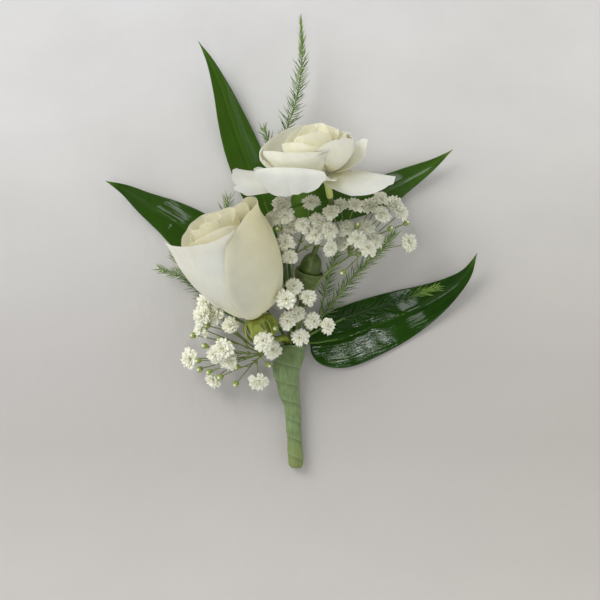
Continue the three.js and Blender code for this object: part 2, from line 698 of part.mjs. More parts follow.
// A floret in shares of its radius: where its pedicel widens, its notches, petal tips and crown.
const FLORET_HEIGHTS = { foot: -0.5, notch: 0.06, tip: 0.16, crown: 0.55 };
const NOTCH_RADIUS = 0.72;
const [BUD_FOOT, BUD_TOP] = [-1.1, 1.3]; // from a green bud's widest place, along it
const NODE_SHARE = 0.55; // how far from the fork to its florets a branch goes
const [NODE_DROP, BEND_DROP] = [1.5, 0.6]; // how low a branch hangs at its end and its middle
const MOST_LIFT = 5; // how far a floret is lifted where its own place is taken
const EDGE_LEAN = 0.9; // how much a floret leans away from its branch
const PEDICEL_ROOTS = [0.3, 0.97]; // shares of a branch between which its pedicels part from it

// An open floret on its pedicel: a domed star of petals over a narrow cup, facing `facing`.
function floret(root, place, facing, radius) {
  const sides = FLORET_PETALS;
  const across = new THREE.Vector3(1, 0.3, 0).cross(facing).normalize();
  const above = facing.clone().cross(across);
  const onAxis = (height) => facing.clone().multiplyScalar(radius * height).add(place);
  const ring = (point, r, twist) => ringRound(point, across, above, r, sides, twist);
  const points = [
    ...ring(root, PEDICEL_RADIUS, 0),
    ...ring(onAxis(FLORET_HEIGHTS.foot), PEDICEL_RADIUS, 0),
    ...ring(onAxis(FLORET_HEIGHTS.notch), NOTCH_RADIUS * radius, 0),
    ...ring(onAxis(FLORET_HEIGHTS.tip), radius, Math.PI / sides),
    onAxis(FLORET_HEIGHTS.crown),
    root,
  ];
  const [crown, start] = [4 * sides, 4 * sides + 1];
  const triangles = [];
  for (let j = 0; j < sides; j++) {
    const next = (j + 1) % sides;
    const [a, b] = [j, next];
    const [n, m] = [sides + j, sides + next];
    const [v, w] = [2 * sides + j, 2 * sides + next];
    const petalTip = 3 * sides + j;
    triangles.push(start, b, a, a, b, m, a, m, n);
    triangles.push(n, m, petalTip, n, petalTip, v, m, w, petalTip);
    triangles.push(v, petalTip, crown, petalTip, w, crown);
  }
  return solidOf(points.flatMap((p) => p.toArray()), triangles);
}

// A closed bud on its pedicel: a small drop.
function closedBud(root, place, facing) {
  const across = new THREE.Vector3(1, 0.3, 0).cross(facing).normalize();
  const above = facing.clone().cross(across);
  const ring = (point, r) => ringRound(point, across, above, r, 4);
  const onAxis = (height) => facing.clone().multiplyScalar(height).add(place);
  return skin(
    [ring(root, PEDICEL_RADIUS), ring(onAxis(BUD_FOOT), PEDICEL_RADIUS), ring(onAxis(0), BUD_RADIUS)],
    undefined,
    onAxis(BUD_TOP),
  );
}

function breathSpray(mouth, { route, fork, branches, facing, seed }, clearOf) {
  const main = curveThrough([...boundEnd(mouth), ...route, fork]);
  const solids = [stem(main, 0.45, 0.4, 4, 2)];
  branches.forEach(({ florets, buds = [] }, n) => {
    const tips = [...florets, ...buds].map(vector);
    const middle = new THREE.Vector3();
    tips.forEach((tip) => middle.addScaledVector(tip, 1 / tips.length));
    const node = vector(fork).lerp(middle, NODE_SHARE);
    node.z -= NODE_DROP;
    const bend = vector(fork).lerp(node, 0.5);
    bend.z -= BEND_DROP;
    const branch = curveThrough([fork, bend.toArray(), node.toArray()]);
    solids.push(stem(branch, 0.36, 0.32, 4, 1));
    tips.forEach((tip, k) => {
      const root = branch.getPointAt(mix(...PEDICEL_ROOTS, (k + 1) / tips.length));
      const radius = FLORET_RADIUS * mix(...FLORET_SIZES, draw(10 * n + k, seed));
      for (let lift = 0; lift <= MOST_LIFT; lift += 1) {
        const place = tip.clone().addScaledVector(UP, lift);
        const faces = place.clone().sub(root).normalize().multiplyScalar(EDGE_LEAN);
        faces.add(vector(facing)).normalize();
        const made =
          k < florets.length ? floret(root, place, faces, radius) : closedBud(root, place, faces);
        if (clearOf.some((other) => made.minGap(other, 1) < CLEARANCE)) continue;
        solids.push(made);
        break;
      }
    });
  });
  return fuse(solids);
}

// Each spray's stem from the tape to its fork, and where its florets and buds are.
const SPRAYS = {
  breath_upper_left: {
    route: [[-0.6, 12, 9.5], [0.0, 24, 12.5]], fork: [1.2, 33, 13], facing: [0, 0, 0.9], seed: 51,
    branches: [
      { florets: [[-6.4, 44.4, 17], [-2.1, 45, 19], [-3.6, 49.4, 14]], buds: [[-4.7, 40.9, 18]] },
      { florets: [[-2.1, 36.6, 18], [-0.6, 31.6, 18], [-0.6, 41, 16]] },
      { florets: [[3.6, 42.1, 19], [6.5, 50, 15], [8.6, 43.7, 15.5]] },
      { florets: [[7.7, 38.7, 18.5], [12.4, 40.6, 18], [12.7, 34.7, 18]] },
    ],
  },
  breath_upper_right: {
    route: [[2.6, 12, 10.5], [10, 24.7, 13.5]], fork: [19, 32, 14], facing: [0, 0.2, 0.9], seed: 61,
    branches: [
      { florets: [[13.1, 46.3, 19], [16.2, 48.7, 14], [20.8, 48.7, 17]] },
      { florets: [[18.1, 41.1, 15], [21.7, 37.5, 18.5], [17.4, 36, 13.5]], buds: [[21.6, 42, 17.5]] },
      { florets: [[25.3, 34.7, 17.5], [28, 37.8, 14], [39.1, 36.4, 15]], buds: [[17, 26.6, 14]] },
      { florets: [[26, 48.6, 14], [29.6, 50.9, 17], [29.8, 45.6, 18.5], [25, 41.6, 15]] },
      { florets: [[34.1, 49.2, 15.5], [36.2, 46.4, 17.5]], buds: [[32.7, 41, 16], [38, 43, 16]] },
    ],
  },
  breath_middle: {
    route: [[2.6, 6, 9]], fork: [2.6, 9.5, 11.5], facing: [0, 0, 0.9], seed: 71,
    branches: [
      { florets: [[0.8, 21.7, 18.5], [-1.8, 17.4, 22]] },
      { florets: [[5.3, 18.3, 18], [7.2, 10.4, 16]] },
      { florets: [[-1.3, 10.4, 17.5], [2, 12.8, 16.5]], buds: [[-5.4, 8, 18]] },
      { florets: [[12, 8.7, 15.5], [2.7, 5, 15]] },
    ],
  },
  breath_low: {
    route: [[-4.6, 3.2, 4.9]], fork: [-9.8, -1, 7], facing: [-0.1, -0.1, 0.9], seed: 81,
    branches: [
      { florets: [[-29.2, 16.6, 10], [-26, 12.6, 10.5], [-30.2, 12.1, 13.5]], buds: [[-28.5, 8.7, 12]] },
      { florets: [[-20.4, 8.7, 14], [-30.6, 7.5, 9.5]], buds: [[-33.3, 5.4, 10], [-24.3, 4, 12]] },
      { florets: [[-22.8, 0.9, 14], [-26.1, -1, 11], [-21.4, -3, 11]], buds: [[-29.3, 1.9, 11.5]] },
      { florets: [[-34.4, -2.7, 8], [-26.6, -9.6, 7]], buds: [[-31.6, -3.1, 11], [-31.1, -6, 9.5]] },
      { florets: [[-11.4, -10.3, 8]], buds: [[-24.2, -8.6, 10], [-19, -11, 8], [-18.5, -5.3, 10]] },
      { florets: [[-9.5, 3.8, 19], [-6.6, 0.7, 12.5]], buds: [[-27.8, -6.8, 11], [-8, -4.5, 9]] },
    ],
  },
};

// The materials, with the colours of daylight on each piece.
const paint = (color, roughness) =>
  new THREE.MeshStandardMaterial({ color, roughness, metalness: 0, flatShading: true });
const PETAL = paint(0xf4f1e6, 0.6);
const LEAF = paint(0x1f4a1c, 0.35);
const FERN = paint(0x5b7a45, 0.6);
const STALK = paint(0x8d9a3e, 0.55);
const CALYX_GREEN = paint(0x3f6327, 0.55);
const BREATH = paint(0xf1f1e8, 0.7);
const TAPE = paint(0x76945f, 0.8);

const boutonniere = new THREE.Group();
boutonniere.name = "boutonniere";
const built = {};
function add(name, solid, material) {
  built[name] = solid;
  boutonniere.add(meshOf(name, solid, material));
}

add("floral_tape", floralTape(), TAPE);
add("rosebud_petals", rosebudPetals(), PETAL);
add("rosebud_calyx", rosebudCalyx(), STALK);
add("bloom_petals", bloomPetals(), PETAL);
add("bloom_stem", bloomStem(), CALYX_GREEN);
add("bloom_stem_tape", stemTapeCone(), TAPE);
for (const [name, shape] of Object.entries(LEAVES)) add(name, leaf(shape), LEAF);
for (const [name, spray] of Object.entries(SPRAYS)) {
  add(name, breathSpray(name, spray, Object.values(built)), BREATH);
}
for (const [name, sprigs] of Object.entries(FERNS)) {
  add(name, fern(name, sprigs, Object.values(built)), FERN);
}

export default boutonniere;
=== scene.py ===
"""Looks of a boutonniere that lies on its back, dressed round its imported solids.

Tables are in millimetres in the part's own frame: +Y towards the flowers, +Z up from the surface.
"""

import math

import bpy
import numpy as np
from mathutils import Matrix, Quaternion, Vector, kdtree


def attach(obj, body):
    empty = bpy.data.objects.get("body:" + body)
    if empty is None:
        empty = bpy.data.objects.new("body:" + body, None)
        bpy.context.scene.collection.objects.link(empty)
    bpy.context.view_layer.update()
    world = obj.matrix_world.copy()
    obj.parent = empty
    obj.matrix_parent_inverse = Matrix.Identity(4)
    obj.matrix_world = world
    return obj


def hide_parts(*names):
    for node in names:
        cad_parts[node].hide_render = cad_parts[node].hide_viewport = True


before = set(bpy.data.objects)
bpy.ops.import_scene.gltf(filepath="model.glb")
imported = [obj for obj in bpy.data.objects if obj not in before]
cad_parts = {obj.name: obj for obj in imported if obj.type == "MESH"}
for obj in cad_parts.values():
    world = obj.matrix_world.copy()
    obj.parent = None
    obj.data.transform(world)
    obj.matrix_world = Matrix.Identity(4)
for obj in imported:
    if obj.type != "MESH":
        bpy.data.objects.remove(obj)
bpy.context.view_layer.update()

MM = 0.001
UP = np.array([0.0, 0.0, 1.0])
UV_LENGTH = 10.0  # millimetres of a stem, leaf or tape for each unit of its uv
TAPE_PITCH = 6.3  # from one turn of the tape to the next


def added(name, data):
    """An object in the scene, holding the data."""
    made = bpy.data.objects.new(name, data)
    bpy.context.scene.collection.objects.link(made)
    return made


# Camera: straight above, as in the photograph

VIEW_CENTRE = (2.67, 17.33)
VIEW_HEIGHT = 500.0
MIDDLE_HEIGHT = 15.0  # of the flowers' middle over the surface
VIEW_HALF_WIDTH = 100.0  # of what shows at that height

camera = added("camera", bpy.data.cameras.new("camera"))
camera.location = (VIEW_CENTRE[0] * MM, VIEW_CENTRE[1] * MM, VIEW_HEIGHT * MM)
camera.data.angle = 2 * math.atan(VIEW_HALF_WIDTH / (VIEW_HEIGHT - MIDDLE_HEIGHT))
camera.data.clip_start = 0.01
bpy.context.scene.camera = camera


# Numbers and curves

def draw(n, series):
    """A repeatable draw from 0 to 1: the nth number of a series."""
    x = math.sin(n * 12.9898 + series * 78.233) * 43758.5453
    return x - math.floor(x)


def mix(a, b, t):
    return a + (b - a) * t


def unit(v):
    v = np.asarray(v, float)
    return v / np.maximum(np.linalg.norm(v, axis=-1, keepdims=True), 1e-9)


def ease(x, low, high):
    t = np.clip((x - low) / (high - low), 0, 1)
    return t * t * (3 - 2 * t)


def ripple(x, y, seed):
    """Smooth, repeatable unevenness from -1 to 1."""
    total = 0.0
    for k in range(4):
        angle = 2 * math.pi * draw(k, seed)
        wide = 1.0 + 0.9 * k
        total = total + np.sin(
            wide * (x * math.cos(angle) + y * math.sin(angle)) + 6.28 * draw(k, seed + 7)
        ) / (1 + 0.5 * k)
    return total / 2.5


def around(count):
    """Shares of a full turn: count steps from 0, without 1."""
    return np.arange(count) / count


def stacked(*coordinates):
    """Points from their coordinates, which are first spread to one shape."""
    return np.stack(np.broadcast_arrays(*coordinates), -1)


def lengths(points):
    """How far along a line each of its points lies."""
    return np.concatenate([[0], np.cumsum(np.linalg.norm(np.diff(points, axis=0), axis=1))])


class Curve:
    """A smooth curve through points, read at shares of its length."""

    STEPS = 24  # from one given point to the next

    def __init__(self, points):
        p = np.array(points, float)
        ends = np.vstack([2 * p[0] - p[1], p, 2 * p[-1] - p[-2]])
        places = []
        for i in range(len(p) - 1):
            p0, p1, p2, p3 = ends[i : i + 4]
            d0, d1, d2 = (np.linalg.norm(b - a) ** 0.5 for a, b in ((p0, p1), (p1, p2), (p2, p3)))
            t1 = ((p1 - p0) / d0 - (p2 - p0) / (d0 + d1) + (p2 - p1) / d1) * d1
            t2 = ((p2 - p1) / d1 - (p3 - p1) / (d1 + d2) + (p3 - p2) / d2) * d1
            t = np.linspace(0, 1, self.STEPS, endpoint=False)[:, None]
            places.append(
                p1 + t1 * t + (-3 * p1 + 3 * p2 - 2 * t1 - t2) * t**2
                + (2 * p1 - 2 * p2 + t1 + t2) * t**3
            )
        self.places = np.vstack([*places, p[-1:]])
        self.run = lengths(self.places)
        self.length = self.run[-1]

    def at(self, share):
        along = np.asarray(share, float) * self.length
        return np.stack([np.interp(along, self.run, self.places[:, k]) for k in range(3)], -1)

    def frames(self, shares):
        """Points, and directions along, to the right and above, at shares of the length."""
        shares = np.asarray(shares, float)
        before, after = (self.at(np.clip(shares + step, 0, 1)) for step in (-0.004, 0.004))
        along = unit(after - before)
        right = unit(np.cross(along, UP))
        return self.at(shares), along, right, np.cross(right, along)


class Profile:
    """A petal's section from claw to rim, as [radius, height] points with a smooth line."""

    def __init__(self, points, wide=1.0, tall=1.0):
        self.p = np.array(points, float) * (wide, tall)

    def at(self, t):
        p, last = self.p, len(self.p) - 1
        x = np.clip(np.asarray(t, float), 0, 1) * last
        k = np.minimum(np.floor(x).astype(int), last - 1)
        w = (x - k)[..., None]
        p0, p1, p2, p3 = (p[np.clip(k + j, 0, last)] for j in (-1, 0, 1, 2))
        v0, v1 = (p2 - p0) / 2, (p3 - p1) / 2
        cubic = (2 * p1 - 2 * p2 + v0 + v1) * w**3
        return cubic + (3 * p2 - 3 * p1 - 2 * v0 - v1) * w**2 + v0 * w + p1

    def step(self, t):
        before = np.maximum(np.minimum(t, 1) - 0.002, 0)
        return unit(self.at(np.minimum(t + 0.002, 1)) - self.at(before))


# Pieces

class Piece:
    """One mesh in the making. Paint is the number of its material, tone a shade from 0 to 1."""

    def __init__(self):
        self.points, self.faces, self.uvs, self.tones, self.paints = [], [], [], [], []
        self.count = 0

    def add(self, points, faces, uv=None, tone=0.0, paint=0):
        points = np.asarray(points, float).reshape(-1, 3)
        self.points.append(points)
        self.uvs.append(np.zeros((len(points), 2)) if uv is None else np.asarray(uv).reshape(-1, 2))
        self.tones.append(np.broadcast_to(np.asarray(tone, float).ravel(), len(points)))
        for f in faces:
            f = np.asarray(f, int)
            if len(f):
                self.faces.append(f + self.count)
                self.paints.append(np.full(len(f), paint))
        self.count += len(points)

    def build(self, name, slot, materials, *nodes):
        points = np.concatenate(self.points) * MM
        corners = np.concatenate([f.ravel() for f in self.faces])
        sizes = np.concatenate([np.full(len(f), f.shape[1]) for f in self.faces])
        mesh = bpy.data.meshes.new(name)
        mesh.vertices.add(len(points))
        mesh.vertices.foreach_set("co", points.ravel().astype(np.float32))
        mesh.loops.add(len(corners))
        mesh.loops.foreach_set("vertex_index", corners.astype(np.int32))
        mesh.polygons.add(len(sizes))
        starts = np.concatenate([[0], np.cumsum(sizes)[:-1]])
        mesh.polygons.foreach_set("loop_start", starts.astype(np.int32))
        mesh.polygons.foreach_set("material_index", np.concatenate(self.paints).astype(np.int32))
        mesh.polygons.foreach_set("use_smooth", np.ones(len(sizes), bool))
        mesh.update(calc_edges=True)
        layer = mesh.uv_layers.new(name="uv")
        layer.data.foreach_set("uv", np.concatenate(self.uvs)[corners].ravel().astype(np.float32))
        tone = mesh.attributes.new("tone", "FLOAT", "POINT")
        tone.data.foreach_set("value", np.concatenate(self.tones).astype(np.float32))
        mesh.validate()
        for material in materials:
            mesh.materials.append(material)
        piece = added(name, mesh)
        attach(piece, "root")
        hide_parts(*nodes)


def grid_faces(rows, columns, closed=False):
    across = columns if closed else columns - 1
    i, j = np.meshgrid(np.arange(rows - 1), np.arange(across), indexing="ij")
    a, b = i * columns + j, i * columns + (j + 1) % columns
    return np.stack([a, b, b + columns, a + columns], -1).reshape(-1, 4)


def shell(piece, grid, thickness, tone, uv):
    """A closed sheet on a grid of points. Its thickness may differ from point to point."""
    rows, columns = grid.shape[:2]
    normal = unit(np.cross(np.gradient(grid, axis=1), np.gradient(grid, axis=0)))
    half = np.broadcast_to(np.asarray(thickness, float), (rows, columns))[..., None] / 2
    upper = grid_faces(rows, columns)
    under = rows * columns
    ids = np.arange(under).reshape(rows, columns)
    rim = np.concatenate([ids[0, :-1], ids[:-1, -1], ids[-1, :0:-1], ids[:0:-1, 0]])
    next_rim = np.roll(rim, -1)
    edge = np.stack([next_rim, rim, rim + under, next_rim + under], -1)
    tone = np.broadcast_to(tone, (rows, columns))
    piece.add(
        np.stack([grid + normal * half, grid - normal * half]),
        [upper, upper[:, ::-1] + under, edge],
        np.stack([uv, uv]),
        np.stack([tone, tone]),
    )


def tube(piece, path, radii, sides=8, tone=0.0, paint=0):
    """A stem along a path of points, closed at both ends."""
    path = np.asarray(path, float)
    count = len(path)
    radii = np.broadcast_to(np.asarray(radii, float), count)[:, None, None]
    along = unit(np.gradient(path, axis=0))
    side = unit(np.cross(along[0], UP + (0.013, 0.017, 0)))
    sideways = []
    for direction in along:
        side = unit(side - direction * np.dot(side, direction))
        sideways.append(side)
    sideways = np.array(sideways)
    above = np.cross(along, sideways)
    turn = 2 * np.pi * around(sides)[None, :, None]
    rings = path[:, None] + radii * (
        np.cos(turn) * sideways[:, None] + np.sin(turn) * above[:, None]
    )
    uv = stacked(around(sides), lengths(path)[:, None] / UV_LENGTH)
    faces, ring = grid_faces(count, sides, closed=True), np.arange(sides)[None]
    tones = np.broadcast_to(np.asarray(tone, float), count)[:, None] * np.ones((1, sides))
    piece.add(rings, [faces, ring[:, ::-1], ring + (count - 1) * sides], uv, tones, paint)


def placed(local, matrix):
    return local @ matrix[:3, :3].T + matrix[:3, 3]


def turned(piece, profile, matrix, segments=40, steps=40, uneven=0.0, tone=0.0, paint=0):
    """A body turned about a flower's axis, from a profile of [radius, height] points."""
    t = np.linspace(0, 1, steps)
    section = Profile(profile).at(t)
    height = section[:, 1:]
    turn = 2 * np.pi * around(segments)
    wobble = ripple(2 * np.cos(turn), 2 * np.sin(turn) + 0.2 * height, 1)
    radius = np.maximum(section[:, :1], 0) * (1 + uneven * wobble)
    local = stacked(radius * np.cos(turn), radius * np.sin(turn), height)
    faces = grid_faces(steps, segments, closed=True)
    tones = np.asarray(tone, float) * np.ones((steps, segments))
    piece.add(placed(local, matrix), [faces], stacked(around(segments), t[:, None]), tones, paint)


def flower_frame(base, lean, tilt):
    """A flower's own frame: its axis along local z, its front at -y, +x to the right."""
    l, t = math.radians(lean), math.radians(tilt)
    axis = np.array([math.sin(l) * math.cos(t), math.cos(l) * math.cos(t), math.sin(t)])
    front = unit(UP - axis * axis[2])
    matrix = np.eye(4)
    matrix[:3, 0], matrix[:3, 1], matrix[:3, 2] = np.cross(axis, front), -front, axis
    matrix[:3, 3] = base
    return matrix


BUD_FRAME = flower_frame([-12.4, 12.3, 15.0], -22.6, 20)
BLOOM_FRAME = flower_frame([11.2, 58.9, 21.0], -11, 25)
CUP_FRAME = flower_frame([10.6, 58.9, 21.0], -19, 16)
CALYX_FRAME = flower_frame([6.4, 29.0, 9.2], 14, 20)


# Materials

class Wiring:
    """Makes nodes in the tree of a material or a world and joins them up."""

    def __init__(self, owner):
        owner.use_nodes = True
        self.owner, self.tree = owner, owner.node_tree
        outputs = self.node("ShaderNodeTexCoord").outputs
        self.uv, self.place, self.sky = outputs["UV"], outputs["Object"], outputs["Generated"]

    def node(self, kind, **values):
        made = self.tree.nodes.new(kind)
        for key, value in values.items():
            setattr(made, key, value)
        return made

    def put(self, socket, value):
        if isinstance(value, bpy.types.NodeSocket):
            self.tree.links.new(value, socket)
        else:
            socket.default_value = value

    def dress(self, **sockets):
        """Gives sockets of the shader a value or a link each, and returns the material."""
        for key, value in sockets.items():
            self.put(self.tree.nodes["Principled BSDF"].inputs[key.replace("_", " ")], value)
        return self.owner

    def axes(self, source):
        made = self.node("ShaderNodeSeparateXYZ")
        self.put(made.inputs[0], source)
        return made.outputs

    def noise(self, source, scale, detail=3.0, stretch=(1, 1, 1), distortion=0.0):
        stretched = self.node("ShaderNodeMapping")
        self.put(stretched.inputs["Vector"], source)
        stretched.inputs["Scale"].default_value = stretch
        made = self.node("ShaderNodeTexNoise")
        self.put(made.inputs["Vector"], stretched.outputs["Vector"])
        made.inputs["Scale"].default_value = scale
        made.inputs["Detail"].default_value = detail
        made.inputs["Distortion"].default_value = distortion
        return made.outputs["Fac"]

    def tone(self):
        return self.node("ShaderNodeAttribute", attribute_name="tone").outputs["Fac"]

    def ramp(self, source, *stops):
        made = self.node("ShaderNodeValToRGB")
        self.put(made.inputs["Fac"], source)
        elements = made.color_ramp.elements
        while len(elements) < len(stops):
            elements.new(0.5)
        for element, (place, colour) in zip(elements, stops):
            element.position = place
            element.color = (*colour, 1.0)
        return made.outputs["Color"]

    def mixed(self, share, a, b, blend="MIX"):
        """The colour a, mixed with the fixed colour b by the share."""
        made = self.node("ShaderNodeMix", data_type="RGBA", blend_type=blend)
        self.put(made.inputs["Factor"], share)
        self.put(made.inputs[6], a)
        self.put(made.inputs[7], (*b, 1))
        return made.outputs[2]

    def maths(self, operation, a, b=0.0):
        made = self.node("ShaderNodeMath", operation=operation)
        self.put(made.inputs[0], a)
        self.put(made.inputs[1], b)
        return made.outputs[0]

    def ranged(self, source, low, high, to_low=0.0, to_high=1.0):
        made = self.node("ShaderNodeMapRange")
        self.put(made.inputs["Value"], source)
        sockets = ("From Min", "From Max", "To Min", "To Max")
        for socket, value in zip(sockets, (low, high, to_low, to_high)):
            made.inputs[socket].default_value = value
        return made.outputs["Result"]

    def bump(self, height, strength, distance, under=None):
        made = self.node("ShaderNodeBump")
        self.put(made.inputs["Height"], height)
        made.inputs["Strength"].default_value = strength
        made.inputs["Distance"].default_value = distance
        if under is not None:
            self.put(made.inputs["Normal"], under)
        return made.outputs["Normal"]


def material(name, roughness, **sockets):
    """A Principled material, as the wiring of its nodes."""
    w = Wiring(bpy.data.materials.new(name))
    w.dress(Roughness=roughness, **sockets)
    return w


def petal_material(name, outer, shaded, inner, claw):
    """Soft, slightly see-through petal skin with fine lengthwise veins, yellower by tone. On the
    bud, the middle of the tone is painted shade.
    """
    w = material(
        name, 0.55, Subsurface_Weight=0.5, Subsurface_Scale=0.003,
        Subsurface_Radius=(1.0, 0.85, 0.5), Sheen_Weight=0.08,
    )
    veins = w.noise(w.uv, 26, 4.0, (1.0, 0.06, 1), 0.4)
    cloudy = w.noise(w.place, 160, 3.0)
    base = w.ramp(w.tone(), (0.0, outer), (0.5, shaded), (1.0, inner))
    base = w.mixed(w.ranged(w.axes(w.uv)["Y"], 0.0, 0.45, 0.9, 0.0), base, claw)
    base = w.mixed(w.ranged(cloudy, 0.3, 0.7, 0.0, 0.25), base, inner)
    base = w.mixed(w.ranged(veins, 0.35, 0.7, 0.0, 0.16), base, claw)
    fine = w.noise(w.place, 2600, 2.0)
    return w.dress(
        Base_Color=base,
        Roughness=w.ranged(cloudy, 0.2, 0.8, 0.48, 0.66),
        Normal=w.bump(fine, 0.12, 0.0001, w.bump(veins, 0.22, 0.0004)),
    )


def breath_material():
    """Thin white florets, yellow-green in the heart."""
    w = material(
        "breath_white", 0.6, Subsurface_Weight=0.25, Subsurface_Scale=0.0004,
        Subsurface_Radius=(1.0, 1.0, 0.9),
    )
    cloudy = w.noise(w.place, 900, 2.0)
    base = w.mixed(
        w.ranged(cloudy, 0.3, 0.7, 0.0, 0.3), (0.92, 0.915, 0.76, 1), (0.86, 0.86, 0.64)
    )
    return w.dress(
        Base_Color=w.mixed(w.tone(), base, (0.62, 0.70, 0.28)),
        Roughness=w.ranged(cloudy, 0.2, 0.8, 0.5, 0.7),
    )


def leaf_material(name, gloss):
    """Glossy leaf skin: lengthwise veins that break up its highlights, and uneven green."""
    w = material(name, 0.42, Coat_Weight=gloss, Coat_Roughness=0.05, Specular_IOR_Level=0.03)
    veins = w.noise(w.uv, 17, 4.0, (1.0, 0.055, 1), 0.2)
    mottle = w.noise(w.place, 90, 4.0)
    base = w.ramp(
        mottle, (0.25, (0.007, 0.03, 0.001)), (0.55, (0.013, 0.05, 0.002)),
        (0.85, (0.026, 0.08, 0.004)),
    )
    base = w.mixed(w.ranged(veins, 0.4, 0.75, 0.0, 0.3), base, (0.035, 0.10, 0.006))
    skin = w.bump(veins, 0.6, 0.00006, w.bump(mottle, 0.2, 0.0003))
    return w.dress(
        Base_Color=w.mixed(w.tone(), base, (0.13, 0.25, 0.03)),
        Roughness=w.ranged(mottle, 0.25, 0.75, 0.32, 0.48),
        Normal=skin,
        Coat_Normal=skin,
    )


def green_material(name, low, high, pale, roughness=0.5):
    """Stems, needles, sepals: uneven green with fine lengthwise grain, paler by tone."""
    w = material(
        name, roughness, Subsurface_Weight=0.1, Subsurface_Scale=0.001,
        Subsurface_Radius=(0.4, 1.0, 0.2),
    )
    mottle = w.noise(w.place, 500, 3.0)
    grain = w.noise(w.uv, 18, 3.0, (1.0, 0.1, 1))
    base = w.mixed(w.tone(), w.ramp(mottle, (0.3, low), (0.7, high)), pale)
    return w.dress(
        Base_Color=w.mixed(w.ranged(grain, 0.4, 0.75, 0.0, 0.25), base, low),
        Roughness=w.ranged(mottle, 0.2, 0.8, roughness - 0.1, roughness + 0.12),
        Normal=w.bump(grain, 0.3, 0.0002, w.bump(mottle, 0.2, 0.0002)),
    )


def tape_material():
    """Waxed crepe paper: fine wrinkles along the stem, paler where the crepe stands up, with a
    painted highlight on each lap's raised edge and a painted shadow just past it.
    """
    w = material("floral_tape_green", 0.62, Sheen_Weight=0.1)
    crepe = w.noise(w.place, 900, 4.0, (1.6, 0.3, 1.6), 0.6)
    fibres = w.noise(w.place, 3500, 2.0, (1, 0.25, 1))
    base = w.ramp(
        w.noise(w.place, 190, 3.0), (0.3, (0.105, 0.165, 0.045)), (0.55, (0.142, 0.215, 0.068)),
        (0.8, (0.195, 0.275, 0.105)),
    )
    base = w.mixed(w.ranged(crepe, 0.4, 0.75, 0.0, 0.4), base, (0.30, 0.39, 0.20))
    base = w.mixed(w.tone(), base, (0.20, 0.24, 0.06))
    turns, share = w.axes(w.uv)["Y"], w.axes(w.uv)["X"]
    lap = w.maths("ADD", w.maths("MULTIPLY", turns, UV_LENGTH / TAPE_PITCH), share)
    lap = w.maths("FRACT", lap)
    # Painted highlight along each lap's raised edge.
    base = w.mixed(w.ranged(lap, 0.8, 0.95, 0.0, 0.2), base, (0.27, 0.36, 0.17))
    return w.dress(
        # Painted shadow just past each lap's edge, where the next turn lies lower.
        Base_Color=w.mixed(w.ranged(lap, 0.0, 0.25, 0.5, 0.0), base, (0.07, 0.11, 0.035)),
        Roughness=w.ranged(crepe, 0.2, 0.8, 0.5, 0.75),
        Normal=w.bump(fibres, 0.3, 0.0001, w.bump(crepe, 0.75, 0.0003)),
    )


def floor_material():
    """Pale, matt backdrop cloth, faintly clouded, with painted light and shade: brightest at the
    top, a painted shadow band across the lower middle, and a little darker and warmer to the right.
    """
    w = material("backdrop_pale", 0.9)
    place = w.axes(w.place)
    clouds = w.noise(w.place, 22, 4.0, (1, 1.6, 1))
    # Painted light falloff: brighter towards the top, with a painted shadow band across the lower
    # middle.
    base = w.ramp(
        w.ranged(place["Y"], -0.08, 0.12),
        (0.0, (0.595, 0.57, 0.54)), (0.24, (0.515, 0.49, 0.465)), (0.38, (0.525, 0.5, 0.48)),
        (0.58, (0.605, 0.59, 0.565)), (0.8, (0.69, 0.68, 0.665)), (1.0, (0.71, 0.70, 0.695)),
    )
    # Painted falloff: a little darker and warmer towards the right.
    right = w.ranged(place["X"], -0.02, 0.09)
    base = w.mixed(right, base, (1.0, 0.985, 0.955), "MULTIPLY")
    weave = w.noise(w.place, 260, 5.0, (1, 0.6, 1))
    return w.dress(
        Base_Color=w.mixed(w.ranged(clouds, 0.3, 0.7, 0.0, 0.25), base, (0.49, 0.47, 0.445)),
        Normal=w.bump(weave, 0.25, 0.0006),
    )


# The middle colour is painted shade: the beige of the bud's side that turns from the light.
BUD_WHITE = petal_material(
    "rosebud_white", (0.75, 0.74, 0.655), (0.70, 0.62, 0.33), (0.96, 0.91, 0.63),
    (0.66, 0.62, 0.32),
)
BLOOM_WHITE = petal_material(
    "bloom_white", (0.59, 0.59, 0.54), (0.86, 0.84, 0.68), (0.97, 0.93, 0.66),
    (0.66, 0.64, 0.40),
)
BREATH_WHITE = breath_material()
LEAF_GLOSSY = leaf_material("leaf_glossy", 0.42)
LEAF_SATIN = leaf_material("leaf_satin", 0.08)
FERN_GREEN = green_material(
    "fern_green", (0.025, 0.06, 0.014), (0.075, 0.145, 0.022), (0.29, 0.42, 0.09)
)
FERN_DARK = green_material(
    "fern_dark", (0.012, 0.04, 0.005), (0.03, 0.075, 0.012), (0.22, 0.35, 0.06)
)
STEM_GREEN = green_material(
    "stem_green", (0.09, 0.14, 0.03), (0.17, 0.25, 0.05), (0.36, 0.44, 0.11)
)
CALYX_GREEN = green_material(
    "calyx_green", (0.05, 0.08, 0.012), (0.10, 0.15, 0.025), (0.2, 0.28, 0.07), 0.42
)
CONE_GREEN = green_material(
    "cone_green", (0.09, 0.13, 0.03), (0.15, 0.205, 0.055), (0.2, 0.27, 0.10), 0.6
)
HIP_GREEN = green_material(
    "hip_green", (0.19, 0.25, 0.025), (0.33, 0.38, 0.05), (0.55, 0.60, 0.2), 0.4
)
TAPE_GREEN = tape_material()


# Stems: where each passes the tape's mouth, as [x, z]

